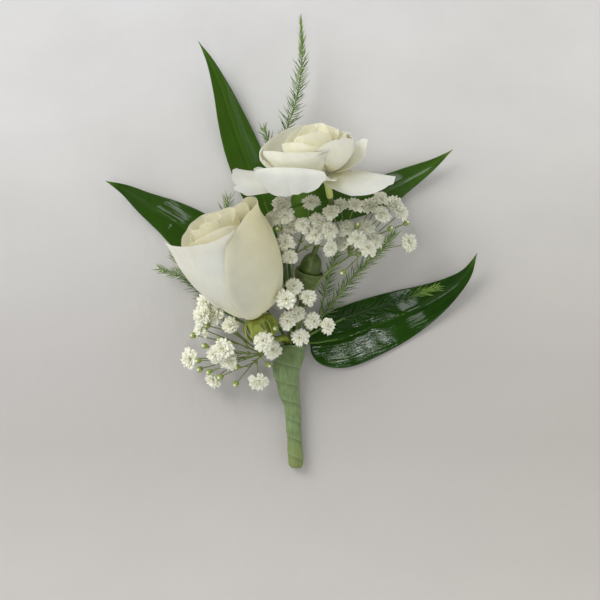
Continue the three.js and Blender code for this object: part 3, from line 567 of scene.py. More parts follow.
TAPE_MOUTH_Y = 2
BOUND_STEM_Y = -5  # how far the thin stems reach down inside the tape
MOUTH_LEAN = 1.35  # how far to the left the stems have moved there
MOUTH = {
    "rosebud": (-0.85, 3.75),
    "bloom": (1.35, 3.75),
    "leaf_left": (-1.76, 2.06),
    "leaf_top_left": (-0.55, 1.44),
    "leaf_right": (0.85, 1.44),
    "leaf_low_right": (2.06, 2.06),
    "fern_left": (-2.5, 3.05),
    "fern_top": (0.25, 2.45),
    "fern_right": (2.72, 3.2),
    "fern_low": (2.76, 4.25),
    "breath_low": (-2.57, 4.05),
    "breath_upper_left": (-0.35, 6.0),
    "breath_upper_right": (1.1, 5.97),
    "breath_middle": (2.09, 5.43),
}


def bound_end(name):
    x, z = MOUTH[name]
    return [(x - MOUTH_LEAN, BOUND_STEM_Y, z), (x, TAPE_MOUTH_Y, z), (x, TAPE_MOUTH_Y + 1, z)]


def stem_path(points, spacing=0.8):
    curve = Curve(points)
    return curve.at(np.linspace(0, 1, max(3, int(curve.length / spacing))))


# Floral tape. A row is y, centre x, half width, half height, and the bore's centre x and radius.

TAPE_ROWS = [
    (2, 0.3, 4.5, 4.2, 0.15, 3.5),
    (-2, -0.3, 4.75, 4.2, -0.62, 3.5),
    (-5, -1.9, 5.3, 4.2, -1.2, 3.5),
    (-8.2, -2.1, 4.5, 4.1, -1.75, 3.1),
    (-11.6, -1.5, 4, 3.7, -1.4, 2.75),
    (-16.3, -0.8, 3.5, 3.2, -0.6, 2.1),
    (-19, 0.1, 2.95, 2.85, 0.2, 1.6),
    (-30.3, 0.8, 2.65, 2.65, 0.8, 1.5),
    (-37, 1.2, 2.8, 2.75, 1.2, 1.5),
    (-40.5, 1.4, 2.7, 2.6, 1.4, 1),
]
TAPE_STEP = 0.22  # how far a lap stands proud
TAPE_SINK = 0.45  # how much of the round underside is cut flat
TAPE_END_Y = -40.0
BORE_END_Y = -36.5
ROUNDED_LENGTH, ROUNDING = 1.6, 2.2  # of the edge round the lower end
TAPE_WALL = 0.6  # the least that is left under the bore


def tape_row(y):
    table = np.array(TAPE_ROWS)[::-1]
    return [np.interp(y, table[:, 0], table[:, k]) for k in range(1, 6)]


def floral_tape():
    piece = Piece()
    sides, rows, inner_rows = 96, 260, 60
    share, ring = around(sides), np.arange(sides)
    turn = 2 * np.pi * share
    y = np.linspace(TAPE_MOUTH_Y, TAPE_END_Y, rows)[:, None]
    x, wide, high, _, _ = tape_row(y)
    laps = share - y / TAPE_PITCH + 0.02 * ripple(3 * turn, y * 0.4, 5)
    part = laps - np.floor(laps)
    proud = TAPE_STEP * (part * (1 - ease(part, 0.94, 1.0)) - 1)
    wrinkle = 0.09 * ripple(9 * turn, y * 0.55, 31) + 0.06 * ripple(15 * turn, y * 1.3, 33) - 0.1
    closing = np.sqrt(1 - np.clip((TAPE_END_Y + ROUNDED_LENGTH - y) / ROUNDING, 0, 1) ** 2)
    upright = high - TAPE_SINK + (high + proud + wrinkle) * closing * np.sin(turn)
    outer = stacked(
        x + (wide + proud + wrinkle) * closing * np.cos(turn), y, np.maximum(upright, 0)
    )
    olive = 0.75 * ease(-y, 26, 38) * np.ones((1, sides))
    faces = grid_faces(rows, sides, closed=True)
    uv = stacked(share, -y / UV_LENGTH)
    piece.add(outer, [faces[:, ::-1], ring[None] + (rows - 1) * sides], uv, olive)

    y = np.linspace(TAPE_MOUTH_Y, BORE_END_Y, inner_rows)[:, None]
    _, _, high, bore_x, bore = tape_row(y)
    middle = high - TAPE_SINK
    hollow = np.minimum(bore, middle - TAPE_WALL)
    inner = stacked(bore_x + bore * np.cos(turn), y, middle + hollow * np.sin(turn))
    faces = grid_faces(inner_rows, sides, closed=True)
    end = ring[None, ::-1] + (inner_rows - 1) * sides
    piece.add(inner, [faces, end], stacked(share, -y / UV_LENGTH))

    follow = np.roll(ring, -1)
    mouth = np.stack([ring, ring + sides, follow + sides, follow], -1)[:, ::-1]
    piece.add(np.concatenate([outer[0], inner[0]]), [mouth])
    piece.build("tape_sleeve", "tape", [TAPE_GREEN], "floral_tape")


# Leaves. Dish is how far the edges rise, pale how light the leaf is and foot how light its base.

FOOT_POWER, POINT_POWER = 0.35, 1.15
LEAVES = {
    "leaf_top_left": dict(
        petiole=[(-1.4, 12, 1.2), (-3.2, 28, 1)],
        midrib=[
            (-6.9, 44, 0.6), (-10.3, 53.3, 0.4), (-14.1, 61.5, 0.4), (-17.7, 70.4, 1.4),
            (-20.6, 78.8, 3), (-23.9, 88.8, 5), (-27.8, 98.2, 7), (-31.8, 105, 8.5),
        ],
        half_width=6.6, dish=0.1, seed=3, pale=0.22,
    ),
    "leaf_left": dict(
        petiole=[(-4.6, 8, 1.8), (-11.5, 17.5, 1)],
        midrib=[
            (-19.9, 26.9, 0.6), (-29.9, 36.6, 0.4), (-40.6, 44.6, 0.6), (-50.2, 50.4, 2.8),
            (-56.7, 54.7, 5.5), (-63.4, 57.8, 7.5),
        ],
        half_width=8.4, dish=0.12, seed=5, pale=0.12,
    ),
    "leaf_right": dict(
        petiole=[(0.4, 14, 1.2), (-1.2, 32, 1)],
        midrib=[
            (-0.3, 49, 0.7), (9.5, 51, 0.4), (20.5, 52.3, 0.4), (31.8, 55, 0.8),
            (40.2, 59.3, 2.5), (48.2, 63.8, 5), (54.6, 68.4, 7.5),
        ],
        half_width=7.4, dish=0.1, seed=7, pale=0.2, foot=0.5,
    ),
    "leaf_low_right": dict(
        petiole=[(2.9, 3.6, 1.8)],
        midrib=[
            (5.8, 2.7, 1.5), (16.4, 4, 0.8), (25.6, 7.4, 0.4), (37.3, 12.2, 0.4),
            (47.1, 17, 2), (54.4, 21.8, 4.2), (59.3, 26.5, 6.2), (62.6, 33.3, 8.5),
        ],
        half_width=10.4, dish=0.06, seed=9, pale=0.0,
    ),
}
LEAF_GRID = (110, 33)
LEAF_THICKNESS, LEAF_EDGE_THICKNESS = 0.55, 0.28


def leaf_width(u):
    return u**FOOT_POWER * (1 - u) ** POINT_POWER


def leaf(name, petiole, midrib, half_width, dish, seed, pale, foot=0.0):
    piece = Piece()
    rows, columns = LEAF_GRID
    u = mix(0.004, 0.998, np.linspace(0, 1, rows))
    half = half_width * leaf_width(u) / leaf_width(FOOT_POWER / (FOOT_POWER + POINT_POWER))
    half = half * (1 + 0.025 * np.sin(9 * u + seed) * ease(u, 0.1, 0.4))
    points, _, right, above = Curve(midrib).frames(u)
    half, v = half[:, None], np.linspace(-1, 1, columns)
    side = v * half
    rise = dish * side * v - 0.35 * np.exp(-((side / 0.8) ** 2)) * ease(half, 0.5, 3)
    rise = rise + 0.07 * ripple(u[:, None] * 14, v * 2.2, seed) * ease(half, 1, 4)
    grid = points[:, None] + right[:, None] * side[..., None] + above[:, None] * rise[..., None]
    thick = mix(LEAF_THICKNESS, LEAF_EDGE_THICKNESS, np.abs(v)) * np.ones((rows, 1))
    grid[..., 2] = np.maximum(grid[..., 2], thick / 2 + 0.02)
    rib = 0.12 * np.exp(-((side / 0.35) ** 2))
    ends = 0.4 * ease(u, 0.9, 1.0) + foot * (1 - ease(u, 0.04, 0.2))
    tone = np.clip(pale + rib + ends[:, None], 0, 1)
    shell(piece, grid, thick, tone, stacked(side / UV_LENGTH, u[:, None] * 6))
    path = stem_path([*bound_end(name), *petiole, midrib[0], midrib[1]])
    path = path[: max(3, int(len(path) * 0.97))]
    tube(piece, path, np.linspace(0.5, 0.42, len(path)), 10, 0.5)
    skin = LEAF_SATIN if name == "leaf_top_left" else LEAF_GLOSSY
    piece.build(name + "_blade", "leaf", [skin], name)


# Petals. Azimuth is where a petal stands round the axis: 0 in front, 90 degrees at the right. One
# with a spread hugs the axis through that angle to each side. One with a half_width opens out, and
# bow is the radius that bends it across. Round is how much lower the rim lies at its left and right
# corners, and the larger corner is, the squarer they are.

PLAIN_PETAL = dict(
    start=0,  # the share of its length from which it is built
    swell=0.7,  # how late an open petal widens
    nick=0.012,  # how uneven the rim is, as a share of the length
    lobes=(1, 0),  # the rim's lobes: how close, and how deep
    slip=0,  # tucks the left edge under the next petal and lifts the right one over it
    wave=0, ruffle=0.25, slope=0, crease=0.3,  # relief: wide, at the rim, across and in the middle
    curl=0,  # how far the rim turns out
    wrap=0,  # 1 where the left side follows the flower's round body
    foot=0, taper=0,  # how much wider the left side is at the claw, and narrower at the rim
    tone=0, painted_side_shade=0, shade=0,  # its tone, painted shade added towards the right, and tone added towards the claw: partly the claw's own yellow, partly painted shade
)
PETAL_THICKNESS = 0.4
SEPAL_THICKNESS = 0.35


def both_sides(value):
    return value if isinstance(value, tuple) else (value, value)


def petal_points(p, s, t):
    """A petal's points in its flower's frame, at shares s across (-1 to 1) and t along (0 to 1)."""
    seed = p["seed"]
    left, right = both_sides(p["round"])
    share = t * (1 - np.where(s < 0, left, right) * np.abs(s) ** p["corner"])
    notch = 1 + 0.7 * ripple(3.2 * s, 0 * s, seed) + 0.5 * ripple(9 * s, 0 * s, seed + 1)
    share = share * (1 - p["nick"] * notch * ease(t, 0.6, 1))
    lobes, depth = p["lobes"]
    cleft = (1 - np.abs(np.cos(lobes * s + seed))) ** 2
    share = share * (1 - depth * cleft * ease(t, 0.55, 1))
    near, far = both_sides(p["profile"])
    turning = ease(s, -0.8, 0.6)[..., None]
    section = mix(near.at(share), far.at(share), turning)
    step = unit(mix(near.step(share), far.step(share), turning))
    wrap = p["wrap"] * ease(-s, 0.0, 0.45)[..., None]
    step = unit(mix(step, np.array([0.0, 1.0]), wrap))
    radius, height = section[..., 0], section[..., 1]
    if "spread" in p:
        left_side = p["foot"] * (1 - share) ** 2 - p["taper"] * ease(share, 0.45, 0.9)
        half = math.radians(p["spread"]) * radius * (1 + (s < 0) * left_side)
        bow = radius
    else:
        half = p["half_width"] * mix(0.12, 1, share ** p["swell"])
        bow = np.full_like(radius, p["bow"])
    angle = s * half / bow
    rise = bow * (1 - np.cos(angle)) - p["slip"] * s * np.minimum(1, share / 0.3)
    rim = ease(share, 0.62, 1.0)
    fine = 0.35 * ripple(11 * s, 2.5 * t, seed + 4) * ease(share, 0.8, 1.0)
    rise = (
        rise
        + p["wave"] * share**3 * np.sin(4 * s + 2 * p["azimuth"])
        + p["ruffle"] * (rim * ripple(4.4 * s, 2.0 * t, seed + 2) + fine)
        + 0.12 * ripple(2.2 * s, 3.1 * t, seed + 3)
        + 5 * depth * np.sin(2 * lobes * s + 2 * seed + 0.8) * rim
        - p["slope"] * s * share**1.5
        - p["crease"] * np.exp(-((s / 0.09) ** 2)) * share * rim
    )
    curl = p["curl"] * ease(t, 0.8, 1.02) ** 1.6
    outward = radius - step[..., 1] * rise + curl
    up = height + step[..., 0] * rise - 0.4 * curl
    return swung(outward, bow * np.sin(angle), up, math.radians(p["azimuth"]) - math.pi / 2)


def swung(outward, sideways, up, turn):
    """Points at distances outward and sideways from an axis, in a direction turned about it."""
    c, s = math.cos(turn), math.sin(turn)
    return stacked(outward * c - sideways * s, outward * s + sideways * c, up)


def petal(piece, matrix, p, rows, columns):
    # Rows and columns lie closer together towards the rim, so that its shading stays narrow.
    along = np.sin(0.5 * math.pi * np.linspace(0, 1, rows))
    across = np.sin(0.5 * math.pi * np.linspace(-1, 1, columns))
    t, s = np.meshgrid(mix(p["start"], 1, along), across, indexing="ij")
    thick = (1 - 0.65 * ease(t, 0.6, 1)) * (1 - 0.55 * ease(np.abs(s), 0.6, 1))
    # Painted shade: the side term shifts the tone across the petal, and shade shifts it towards the
    # claw.
    tone = np.clip(p["tone"] + p["painted_side_shade"] * s + p["shade"] * (1 - t), 0, 1)
    points = placed(petal_points(p, s, t), matrix)
    shell(piece, points, PETAL_THICKNESS * thick, tone, stacked((s + 1) / 2, t))


def petals(piece, matrix, shapes, style, seed, grid):
    for k, shape in enumerate(shapes):
        petal(piece, matrix, PLAIN_PETAL | style | dict(seed=seed + k) | shape, *grid)


def inner_petals(points, *rows):
    """Petals folded inside. A row is azimuth, spread, the profile's width and height, round,
    start and tone."""
    return [
        dict(azimuth=a, spread=b, profile=Profile(points, wide, tall), round=r, start=d, tone=e)
        for a, b, wide, tall, r, d, e in rows
    ]


BUD_LEFT = [(3, 1.2), (6.7, 4.8), (10.5, 10.3), (14.3, 17.2), (16.1, 25), (16.6, 30), (17.3, 36)]
BUD_RIGHT = [
    (3, 0.9), (9.3, 3.2), (13.6, 9.3), (15.8, 17.3), (16.1, 26.5), (15.2, 32.5), (15.6, 37),
]
BUD_TUCKED = [
    (3, 1.3), (8.8, 3.5), (13.2, 9.2), (15.4, 16), (15.6, 24), (14.7, 29.4), (15.1, 33.5),
]
BUD_CORE = [
    (0, -0.6), (5, -0.3), (8.6, 2.6), (11.2, 7), (12.4, 12), (12, 16.5), (8.5, 21), (0, 23),
]
BUD_STYLE = dict(slip=0.9, wave=0.35, corner=2.2, ruffle=0.3)
BUD_GRID = (56, 72)  # a petal's rows and columns
BUD_PETALS = [
    dict(
        azimuth=160, spread=58, profile=Profile(BUD_RIGHT, 0.93, 0.9), round=0.22, corner=2.4,
        tone=0.8,
    ),
    dict(
        azimuth=181, spread=56, round=(0.2, 0.16), corner=2.6, ruffle=0.9, nick=0.03, tone=0.85,
        profile=(Profile(BUD_RIGHT, 0.93, 0.93), Profile(BUD_LEFT, 0.98, 0.96)),
    ),
    dict(
        azimuth=-40, spread=63, profile=(Profile(BUD_LEFT), Profile(BUD_TUCKED)),
        round=(0.09, 0.03), corner=3.0, curl=0.1, slip=-0.3, shade=0.3,
    ),
    # The petal at the right turns from the light, so its tone sits on the painted shade colour.
    dict(
        azimuth=71, spread=87, foot=0.08, taper=0.24, wrap=1, profile=Profile(BUD_RIGHT),
        round=0.22, corner=2.3, curl=0.1, slip=-0.5, tone=0.5, painted_side_shade=0.11, shade=-0.2,
    ),
    dict(
        azimuth=-28, spread=66, round=0.12, start=0.35, tone=0.8,
        profile=(Profile(BUD_RIGHT, 0.86, 0.9), Profile(BUD_RIGHT, 0.84, 0.99)),
    ),
    *inner_petals(
        BUD_RIGHT,
        (108, 66, 0.8, 0.97, 0.25, 0.35, 0.8),
        (-160, 56, 0.7, 0.93, 0.22, 0.35, 0.85),
        (-60, 90, 0.54, 1.0, 0.2, 0.5, 0.8),
        (125, 100, 0.5, 0.98, 0.2, 0.5, 0.9),
        (15, 120, 0.34, 1.01, 0.16, 0.5, 1.0),
        (190, 130, 0.17, 1.01, 0.12, 0.5, 1.0),
    ),
]


def rosebud():
    piece = Piece()
    turned(piece, [(0.55 * r, h) for r, h in BUD_CORE], BUD_FRAME, tone=0.6)
    petals(piece, BUD_FRAME, BUD_PETALS, BUD_STYLE, 40, BUD_GRID)
    piece.build("rosebud_bloom", "petal", [BUD_WHITE], "rosebud_petals")


CUP = [(2, 0), (7, 1.5), (11, 5), (12.8, 9.5), (12.4, 13)]
LEFT_OPEN = [(1.5, 0), (8, 0.8), (15, 2), (23, 3.8), (28, 5.2), (30.6, 6.6)]
RIGHT_OPEN = [(1.5, 0), (7, -0.7), (13, -1.7), (19, -2.6), (23.9, -2.8)]
FRONT = [(1.5, 0), (9, 2), (15, 6), (18.5, 9.6), (20.8, 9.2), (21.8, 5.6), (21.8, 0.7)]
FOLDED = [(1.5, 0.2), (8, 0.2), (14, 0), (19.5, 1.4), (24, 4.8)]
BACK = [(1.5, 0), (6, 1.8), (11, 3.5), (15, 5), (18, 6)]
UPRIGHT = [(2, 0.4), (7.5, 1), (12, 2.6), (14.6, 5), (17.2, 7.4)]
BLOOM_CORE = [(0, -0.5), (2.6, -0.3), (5, 2.2), (6.2, 5.5), (5.2, 9), (0, 11)]
OPEN_STYLE = dict(round=0.34, corner=2.4, ruffle=0.55, nick=0.03)
OPEN_GRID = (48, 64)
OPEN_PETALS = [
    dict(
        azimuth=-86, half_width=10.5, bow=-22, profile=Profile(LEFT_OPEN), round=(0.24, 0.26),
        swell=0.5, wave=0.5, ruffle=0.8, nick=0.03, lobes=(3.6, 0.1), slope=2.8,
    ),
    dict(
        azimuth=-36, half_width=15, bow=-90, profile=Profile(FRONT), round=(0.18, 0.22), corner=2.6,
        swell=0.35, ruffle=0.5, lobes=(2.2, 0.05), seed=60.5,
    ),
    dict(
        azimuth=60, half_width=11.5, bow=-25, profile=Profile(RIGHT_OPEN), round=(0.46, 0.36),
        corner=1.8, swell=0.25, wave=0.4, ruffle=0.5, nick=0.02, lobes=(4, 0.04),
    ),
    dict(
        azimuth=-108, half_width=8, bow=-14, profile=Profile(FOLDED), round=0.5, corner=1.5,
        wave=0.4,
    ),
    dict(azimuth=-155, half_width=11, bow=20, profile=Profile(BACK), wave=0.7, tone=0.3),
    dict(
        azimuth=112, half_width=7.5, bow=24, profile=Profile(UPRIGHT), round=(0.62, 0.5),
        corner=1.4, swell=0.2, wave=0.4, tone=0.5, lobes=(3, 0.05),
    ),
]
CUP_STYLE = dict(slip=0.8, wave=0.3, corner=2.2, ruffle=0.4, nick=0.02, tone=0.45)
CUP_GRID = (38, 50)
CUP_PETALS = [
    dict(
        azimuth=-46, spread=64, round=0.08, curl=0.2, tone=0.34,
        profile=(Profile(CUP, 1.34, 1.2), Profile(CUP, 1.06, 0.9)),
    ),
    dict(
        azimuth=52, spread=56, round=0.08, slip=-0.6, curl=0.3,
        profile=(Profile(CUP, 1.02, 1.0), Profile(CUP, 1.0, 0.66)),
    ),
    dict(
        azimuth=-125, spread=58, round=(0.05, 0.1), tone=0.5,
        profile=(Profile(CUP, 1.05, 1.32), Profile(CUP, 1.4, 1.1)),
    ),
    dict(
        azimuth=170, spread=60, round=0.14, tone=0.5,
        profile=(Profile(CUP, 0.98, 0.84), Profile(CUP, 1.0, 1.14)),
    ),
    dict(azimuth=105, spread=50, profile=Profile(CUP, 1.0, 0.76), round=0.36, tone=0.4, curl=0.3),
    *inner_petals(
        CUP,
        (-60, 88, 0.8, 1.14, 0.5, 0.35, 1.0),
        (85, 88, 0.82, 0.86, 0.26, 0.35, 0.8),
        (-170, 90, 0.72, 1.2, 0.26, 0.35, 0.8),
        (-20, 110, 0.5, 1.2, 0.3, 0.45, 1.0),
        (160, 110, 0.45, 1.24, 0.3, 0.45, 1.0),
        (60, 130, 0.22, 1.24, 0.3, 0.45, 1.0),
    ),
]


def bloom():
    piece = Piece()
    turned(piece, [(0.7 * r, 0.8 * h) for r, h in BLOOM_CORE], BLOOM_FRAME, tone=0.8)
    petals(piece, BLOOM_FRAME, OPEN_PETALS, OPEN_STYLE, 60, OPEN_GRID)
    petals(piece, CUP_FRAME, CUP_PETALS, CUP_STYLE, 80, CUP_GRID)
    piece.build("open_bloom", "petal", [BLOOM_WHITE], "bloom_petals")


# The flowers' greens

HIP = [(0, -9.2), (1.3, -9.0), (2.7, -7.9), (3.9, -5.8), (4.1, -3.6), (3.4, -1.4), (0, -1.0)]
SEPAL = [(2.8, -1.4), (4.4, -2.2), (4.8, -4.2), (4.6, -6.2), (4.1, -8.2)]


def on_axis(matrix, *heights):
    """Points on a flower's axis."""
    return [placed(np.array([0, 0, h], float), matrix) for h in heights]


def rosebud_greens():
    piece = Piece()
    turned(piece, HIP, BUD_FRAME, uneven=0.04, tone=0.2)
    t, s = np.meshgrid(np.linspace(0, 1, 24), np.linspace(-1, 1, 20), indexing="ij")
    for k in range(5):
        p = PLAIN_PETAL | dict(
            azimuth=72 * k - 14, half_width=3.7, bow=4.6, profile=Profile(SEPAL), round=0.4,
            corner=2.2, seed=20 + k, crease=0.05, ruffle=0.08,
        )
        points = placed(petal_points(p, s, t), BUD_FRAME)
        shell(piece, points, SEPAL_THICKNESS, 0.5 * ease(np.abs(s), 0.8, 1), stacked(s, t))
    x, z = MOUTH["rosebud"]
    path = stem_path([
        (1.1, -35.5, 2.25), (0.75, -28, 2.2), (0.2, -19, 2.4), (-1.4, -12, 3.2),
        (x - MOUTH_LEAN, BOUND_STEM_Y, z), (x, TAPE_MOUTH_Y, z), (-2.1, 4.4, 6.2), (-5.8, 4.0, 9.6),
        *on_axis(BUD_FRAME, -9.6, -7.5),
    ])
    tube(piece, path, 1.05, 14, 0.0)
    piece.build("rosebud_hip", "stem", [HIP_GREEN], "rosebud_calyx")


THROAT = [(0, -8.5), (1.05, -8.3), (1.2, -4), (1.7, -1.2), (0, -0.85)]
CALYX = [(0, -4.4), (1.6, -4.2), (3.45, -2.3), (3.5, 0), (3.0, 2.2), (1.7, 3.9), (0, 4.3)]


def bloom_greens():
    piece = Piece()
    turned(piece, THROAT, BLOOM_FRAME, tone=0.9, paint=1)
    seams = np.exp(-((np.sin(5 * np.pi * around(60) + 0.9) / 0.16) ** 2))
    turned(piece, CALYX, CALYX_FRAME, 60, uneven=0.05, tone=0.7 * seams)
    path = stem_path([
        *bound_end("bloom"), *on_axis(CALYX_FRAME, -16, -10, -3, 4),
        *on_axis(BLOOM_FRAME, -11, -7.5),
    ])
    tube(piece, path, np.linspace(0.85, 0.95, len(path)), 14, 0.15)
    piece.build("bloom_calyx", "calyx", [CALYX_GREEN, HIP_GREEN], "bloom_stem")


CONE = [
    (1.45, -13), (1.9, -13), (3.0, -9), (4.4, -5), (5.0, -2.2),
    (4.4, -1.9), (3.75, -2.4), (3.45, -4.4), (2.1, -6.2), (1.35, -9), (1.45, -13),
]
CONE_PITCH = 5.0


def tape_cone():
    piece = Piece()
    segments, steps = 72, 110
    points = np.array(CONE, float)
    run = lengths(points)
    t = np.linspace(0, run[-1], steps)[:, None]
    radius, height = np.interp(t, run, points[:, 0]), np.interp(t, run, points[:, 1])
    share = around(segments)
    turn = 2 * np.pi * share
    laps = height / CONE_PITCH + share
    part = laps - np.floor(laps)
    lapped = TAPE_STEP * part * (1 - ease(part, 0.93, 1)) - 0.2
    radius = radius + np.where(t < 0.5 * run[-1], lapped, 0.05) + 0.07 * ripple(7 * turn, height, 4)
    local = stacked(radius * np.cos(turn), radius * np.sin(turn), height)
    faces = grid_faces(steps, segments, closed=True)
    piece.add(placed(local, CALYX_FRAME), [faces], stacked(share, t / UV_LENGTH))
    piece.build("tape_cone", "tape", [CONE_GREEN], "bloom_stem_tape")


# Asparagus fern. Needles stand on a sprig from the share start of its length to its tip.

FERNS = {
    "fern_top": [
        dict(start=0.52, length=4.2, seed=11, slender=1.0, points=[
            (-1.1, 17.3, 3.1), (-3.1, 34.4, 3.3), (-3.9, 51.4, 3.6), (-2.9, 69, 6),
            (-0.7, 78.3, 7.5), (1.7, 86.5, 9), (3.3, 98.1, 10.5), (3, 111.6, 12),
        ]),
        dict(start=0.3, length=3.8, seed=12, points=[
            (-3.7, 60, 4.6), (-6.8, 68.3, 5.5), (-9.7, 75.5, 6.5),
        ]),
    ],
    "fern_left": [
        dict(start=0.4, length=3.8, seed=21, points=[
            (-10.3, 6.4, 3.2), (-22.9, 13, 3.4), (-32.1, 21.4, 4.5), (-40.6, 33.4, 6),
        ]),
        dict(start=0.35, length=3.4, seed=22, points=[
            (-27.5, 16.7, 3.9), (-36.5, 25, 5), (-45.2, 28, 5.5),
        ]),
        dict(start=0.78, length=3.8, seed=23, points=[
            (-19, 10.7, 3.3), (-23.9, 31, 3.7), (-21.8, 52.4, 4.6),
        ]),
    ],
    "fern_right": [
        dict(start=0.12, length=4.2, seed=31, points=[
            (7.8, 8.8, 6), (14.5, 17.3, 8), (21.2, 25.8, 9), (31.2, 35.8, 11),
            (34.6, 39.8, 12),
        ]),
        dict(start=0.3, length=3.6, seed=32, points=[
            (9, 10.4, 6.4), (12.6, 25.8, 8.4), (17, 37, 9.4),
        ]),
    ],
    "fern_low": [
        dict(start=0.1, length=3.8, seed=41, dark=True, points=[
            (8.8, 7.1, 5.5), (18, 11.2, 4.8), (36.7, 17.3, 4.6), (48.8, 21.4, 5.4),
        ]),
    ],
}
WHORL_SPACING = 0.85
NEEDLES_IN_WHORL = 4
NEEDLE_RADIUS = 0.13
LOWEST_TIP = 0.6  # Needles that reach further down are left out.


def needle(piece, root, direction, sag, long, tone, paint):
    t = np.linspace(0, 1, 5)
    path = root + direction * (t * long)[:, None] + sag * (t**2 * long * 0.18)[:, None]
    radii = NEEDLE_RADIUS * np.array([0.6, 1.0, 0.95, 0.65, 0.12])
    tube(piece, path, radii, 4, tone, paint)


def sprig(piece, points, start, length, seed, dark=False, slender=0.0):
    """A twig with whorls of needles, which lie closer to it towards its tip."""
    curve = Curve(points)
    shares = np.linspace(0, 1, int(curve.length / 0.9))
    tone = ease(shares, 0.7, 0.9) if dark else 0.5 + 0.5 * shares
    tube(piece, curve.at(shares), mix(0.42, 0.12, shares), 8, tone, int(dark))
    whorls = np.arange(start, 1.0, WHORL_SPACING / curve.length)
    points, along, right, above = curve.frames(whorls)
    for k, share in enumerate((whorls - start) / (1 - start)):
        steep = mix(62, mix(34, 10, slender), share ** (1.5 + slender))
        close = mix(1.0, mix(0.72, 0.34, slender), share ** (1.5 + 0.7 * slender))
        for j in range(NEEDLES_IN_WHORL):
            n = k * NEEDLES_IN_WHORL + j
            turn = 2 * math.pi * j / NEEDLES_IN_WHORL + k * 1.1 + 0.7 * draw(n, seed)
            out = right[k] * math.cos(turn) + above[k] * math.sin(turn)
            lean = math.radians(steep + 26 * (draw(n, seed + 1) - 0.5))
            long = 1.4 * length * close * mix(0.5, 1.1, draw(n, seed + 2))
            direction = along[k] * math.cos(lean) + out * math.sin(lean)
            root = points[k] + out * mix(0.3, 0.1, share)
            if root[2] + direction[2] * long < LOWEST_TIP:
                continue
            pale = np.clip(0.1 + 0.6 * share + 0.8 * (draw(n, seed + 3) - 0.45), 0, 1)
            tone = ease(share, 0.7, 0.9) if dark else pale
            needle(piece, root, direction, along[k] - direction, long, tone, int(dark))


def fern(name):
    piece = Piece()
    first = FERNS[name][0]["points"]
    tube(piece, stem_path([*bound_end(name), first[0], first[1]]), 0.4, 8, 0.35)
    for shape in FERNS[name]:
        sprig(piece, **shape)
    piece.build(name + "_needles", "fern", [FERN_GREEN, FERN_DARK], name)


# Baby's breath. A branch has the places of its florets and of its closed buds.

FLORET_RADIUS = 2.9
MOST_LIFT = 5
ON_SOLID = 0.05  # how close a flower's crown comes to its corner of the solid spray
STALK_RADIUS = 0.17
BRACT_LENGTH = 1.8
SPRAYS = {
    "breath_upper_left": dict(
        route=[(-0.6, 12, 9.5), (0.0, 24, 12.5)], fork=(1.2, 33, 13), facing=(0, 0, 0.9), seed=51,
        branches=[
            ([(-6.4, 44.4, 17), (-2.1, 45, 19), (-3.6, 49.4, 14)], [(-4.7, 40.9, 18)]),
            ([(-2.1, 36.6, 18), (-0.6, 31.6, 18), (-0.6, 41, 16)], []),
            ([(3.6, 42.1, 19), (6.5, 50, 15), (8.6, 43.7, 15.5)], []),
            ([(7.7, 38.7, 18.5), (12.4, 40.6, 18), (12.7, 34.7, 18)], []),
        ],
    ),
    "breath_upper_right": dict(
        route=[(2.6, 12, 10.5), (10, 24.7, 13.5)], fork=(19, 32, 14), facing=(0, 0.2, 0.9), seed=61,
        branches=[
            ([(13.1, 46.3, 19), (16.2, 48.7, 14), (20.8, 48.7, 17)], []),
            ([(18.1, 41.1, 15), (21.7, 37.5, 18.5), (17.4, 36, 13.5)], [(21.6, 42, 17.5)]),
            ([(25.3, 34.7, 17.5), (28, 37.8, 14), (39.1, 36.4, 15)], [(17, 26.6, 14)]),
            ([(26, 48.6, 14), (29.6, 50.9, 17), (29.8, 45.6, 18.5), (25, 41.6, 15)], []),
            ([(34.1, 49.2, 15.5), (36.2, 46.4, 17.5)], [(32.7, 41, 16), (38, 43, 16)]),
        ],
    ),
    "breath_middle": dict(
        route=[(2.6, 6, 9)], fork=(2.6, 9.5, 11.5), facing=(0, 0, 0.9), seed=71,
        branches=[
            ([(0.8, 21.7, 18.5), (-1.8, 17.4, 22)], []),
            ([(5.3, 18.3, 18), (7.2, 10.4, 16)], []),
            ([(-1.3, 10.4, 17.5), (2, 12.8, 16.5)], [(-5.4, 8, 18)]),
            ([(12, 8.7, 15.5), (2.7, 5, 15)], []),
        ],
    ),
    "breath_low": dict(
        route=[(-4.6, 3.2, 4.9)], fork=(-9.8, -1, 7), facing=(-0.1, -0.1, 0.9), seed=81, full=1.26,
        branches=[
            ([(-29.2, 16.6, 10), (-26, 12.6, 10.5), (-30.2, 12.1, 13.5)], [(-28.5, 8.7, 12)]),
            ([(-20.4, 8.7, 14), (-30.6, 7.5, 9.5)], [(-33.3, 5.4, 10), (-24.3, 4, 12)]),
            ([(-22.8, 0.9, 14), (-26.1, -1, 11), (-21.4, -3, 11)], [(-29.3, 1.9, 11.5)]),
            ([(-34.4, -2.7, 8), (-26.6, -9.6, 7)], [(-31.6, -3.1, 11), (-31.1, -6, 9.5)]),
            ([(-11.4, -10.3, 8)], [(-24.2, -8.6, 10), (-19, -11, 8), (-18.5, -5.3, 10)]),
            ([(-9.5, 3.8, 19), (-6.6, 0.7, 12.5)], [(-27.8, -6.8, 11), (-8, -4.5, 9)]),
        ],
    ),
}


def facing_frame(place, facing, spin):
    """A small flower's frame, its axis along `facing`."""
    across = unit(np.cross((1, 0.3, 0), facing))
    above = np.cross(facing, across)
    c, s = math.cos(spin), math.sin(spin)
    matrix = np.eye(4)
    matrix[:3, 0], matrix[:3, 1] = across * c + above * s, above * c - across * s
    matrix[:3, 2], matrix[:3, 3] = facing, place
    return matrix


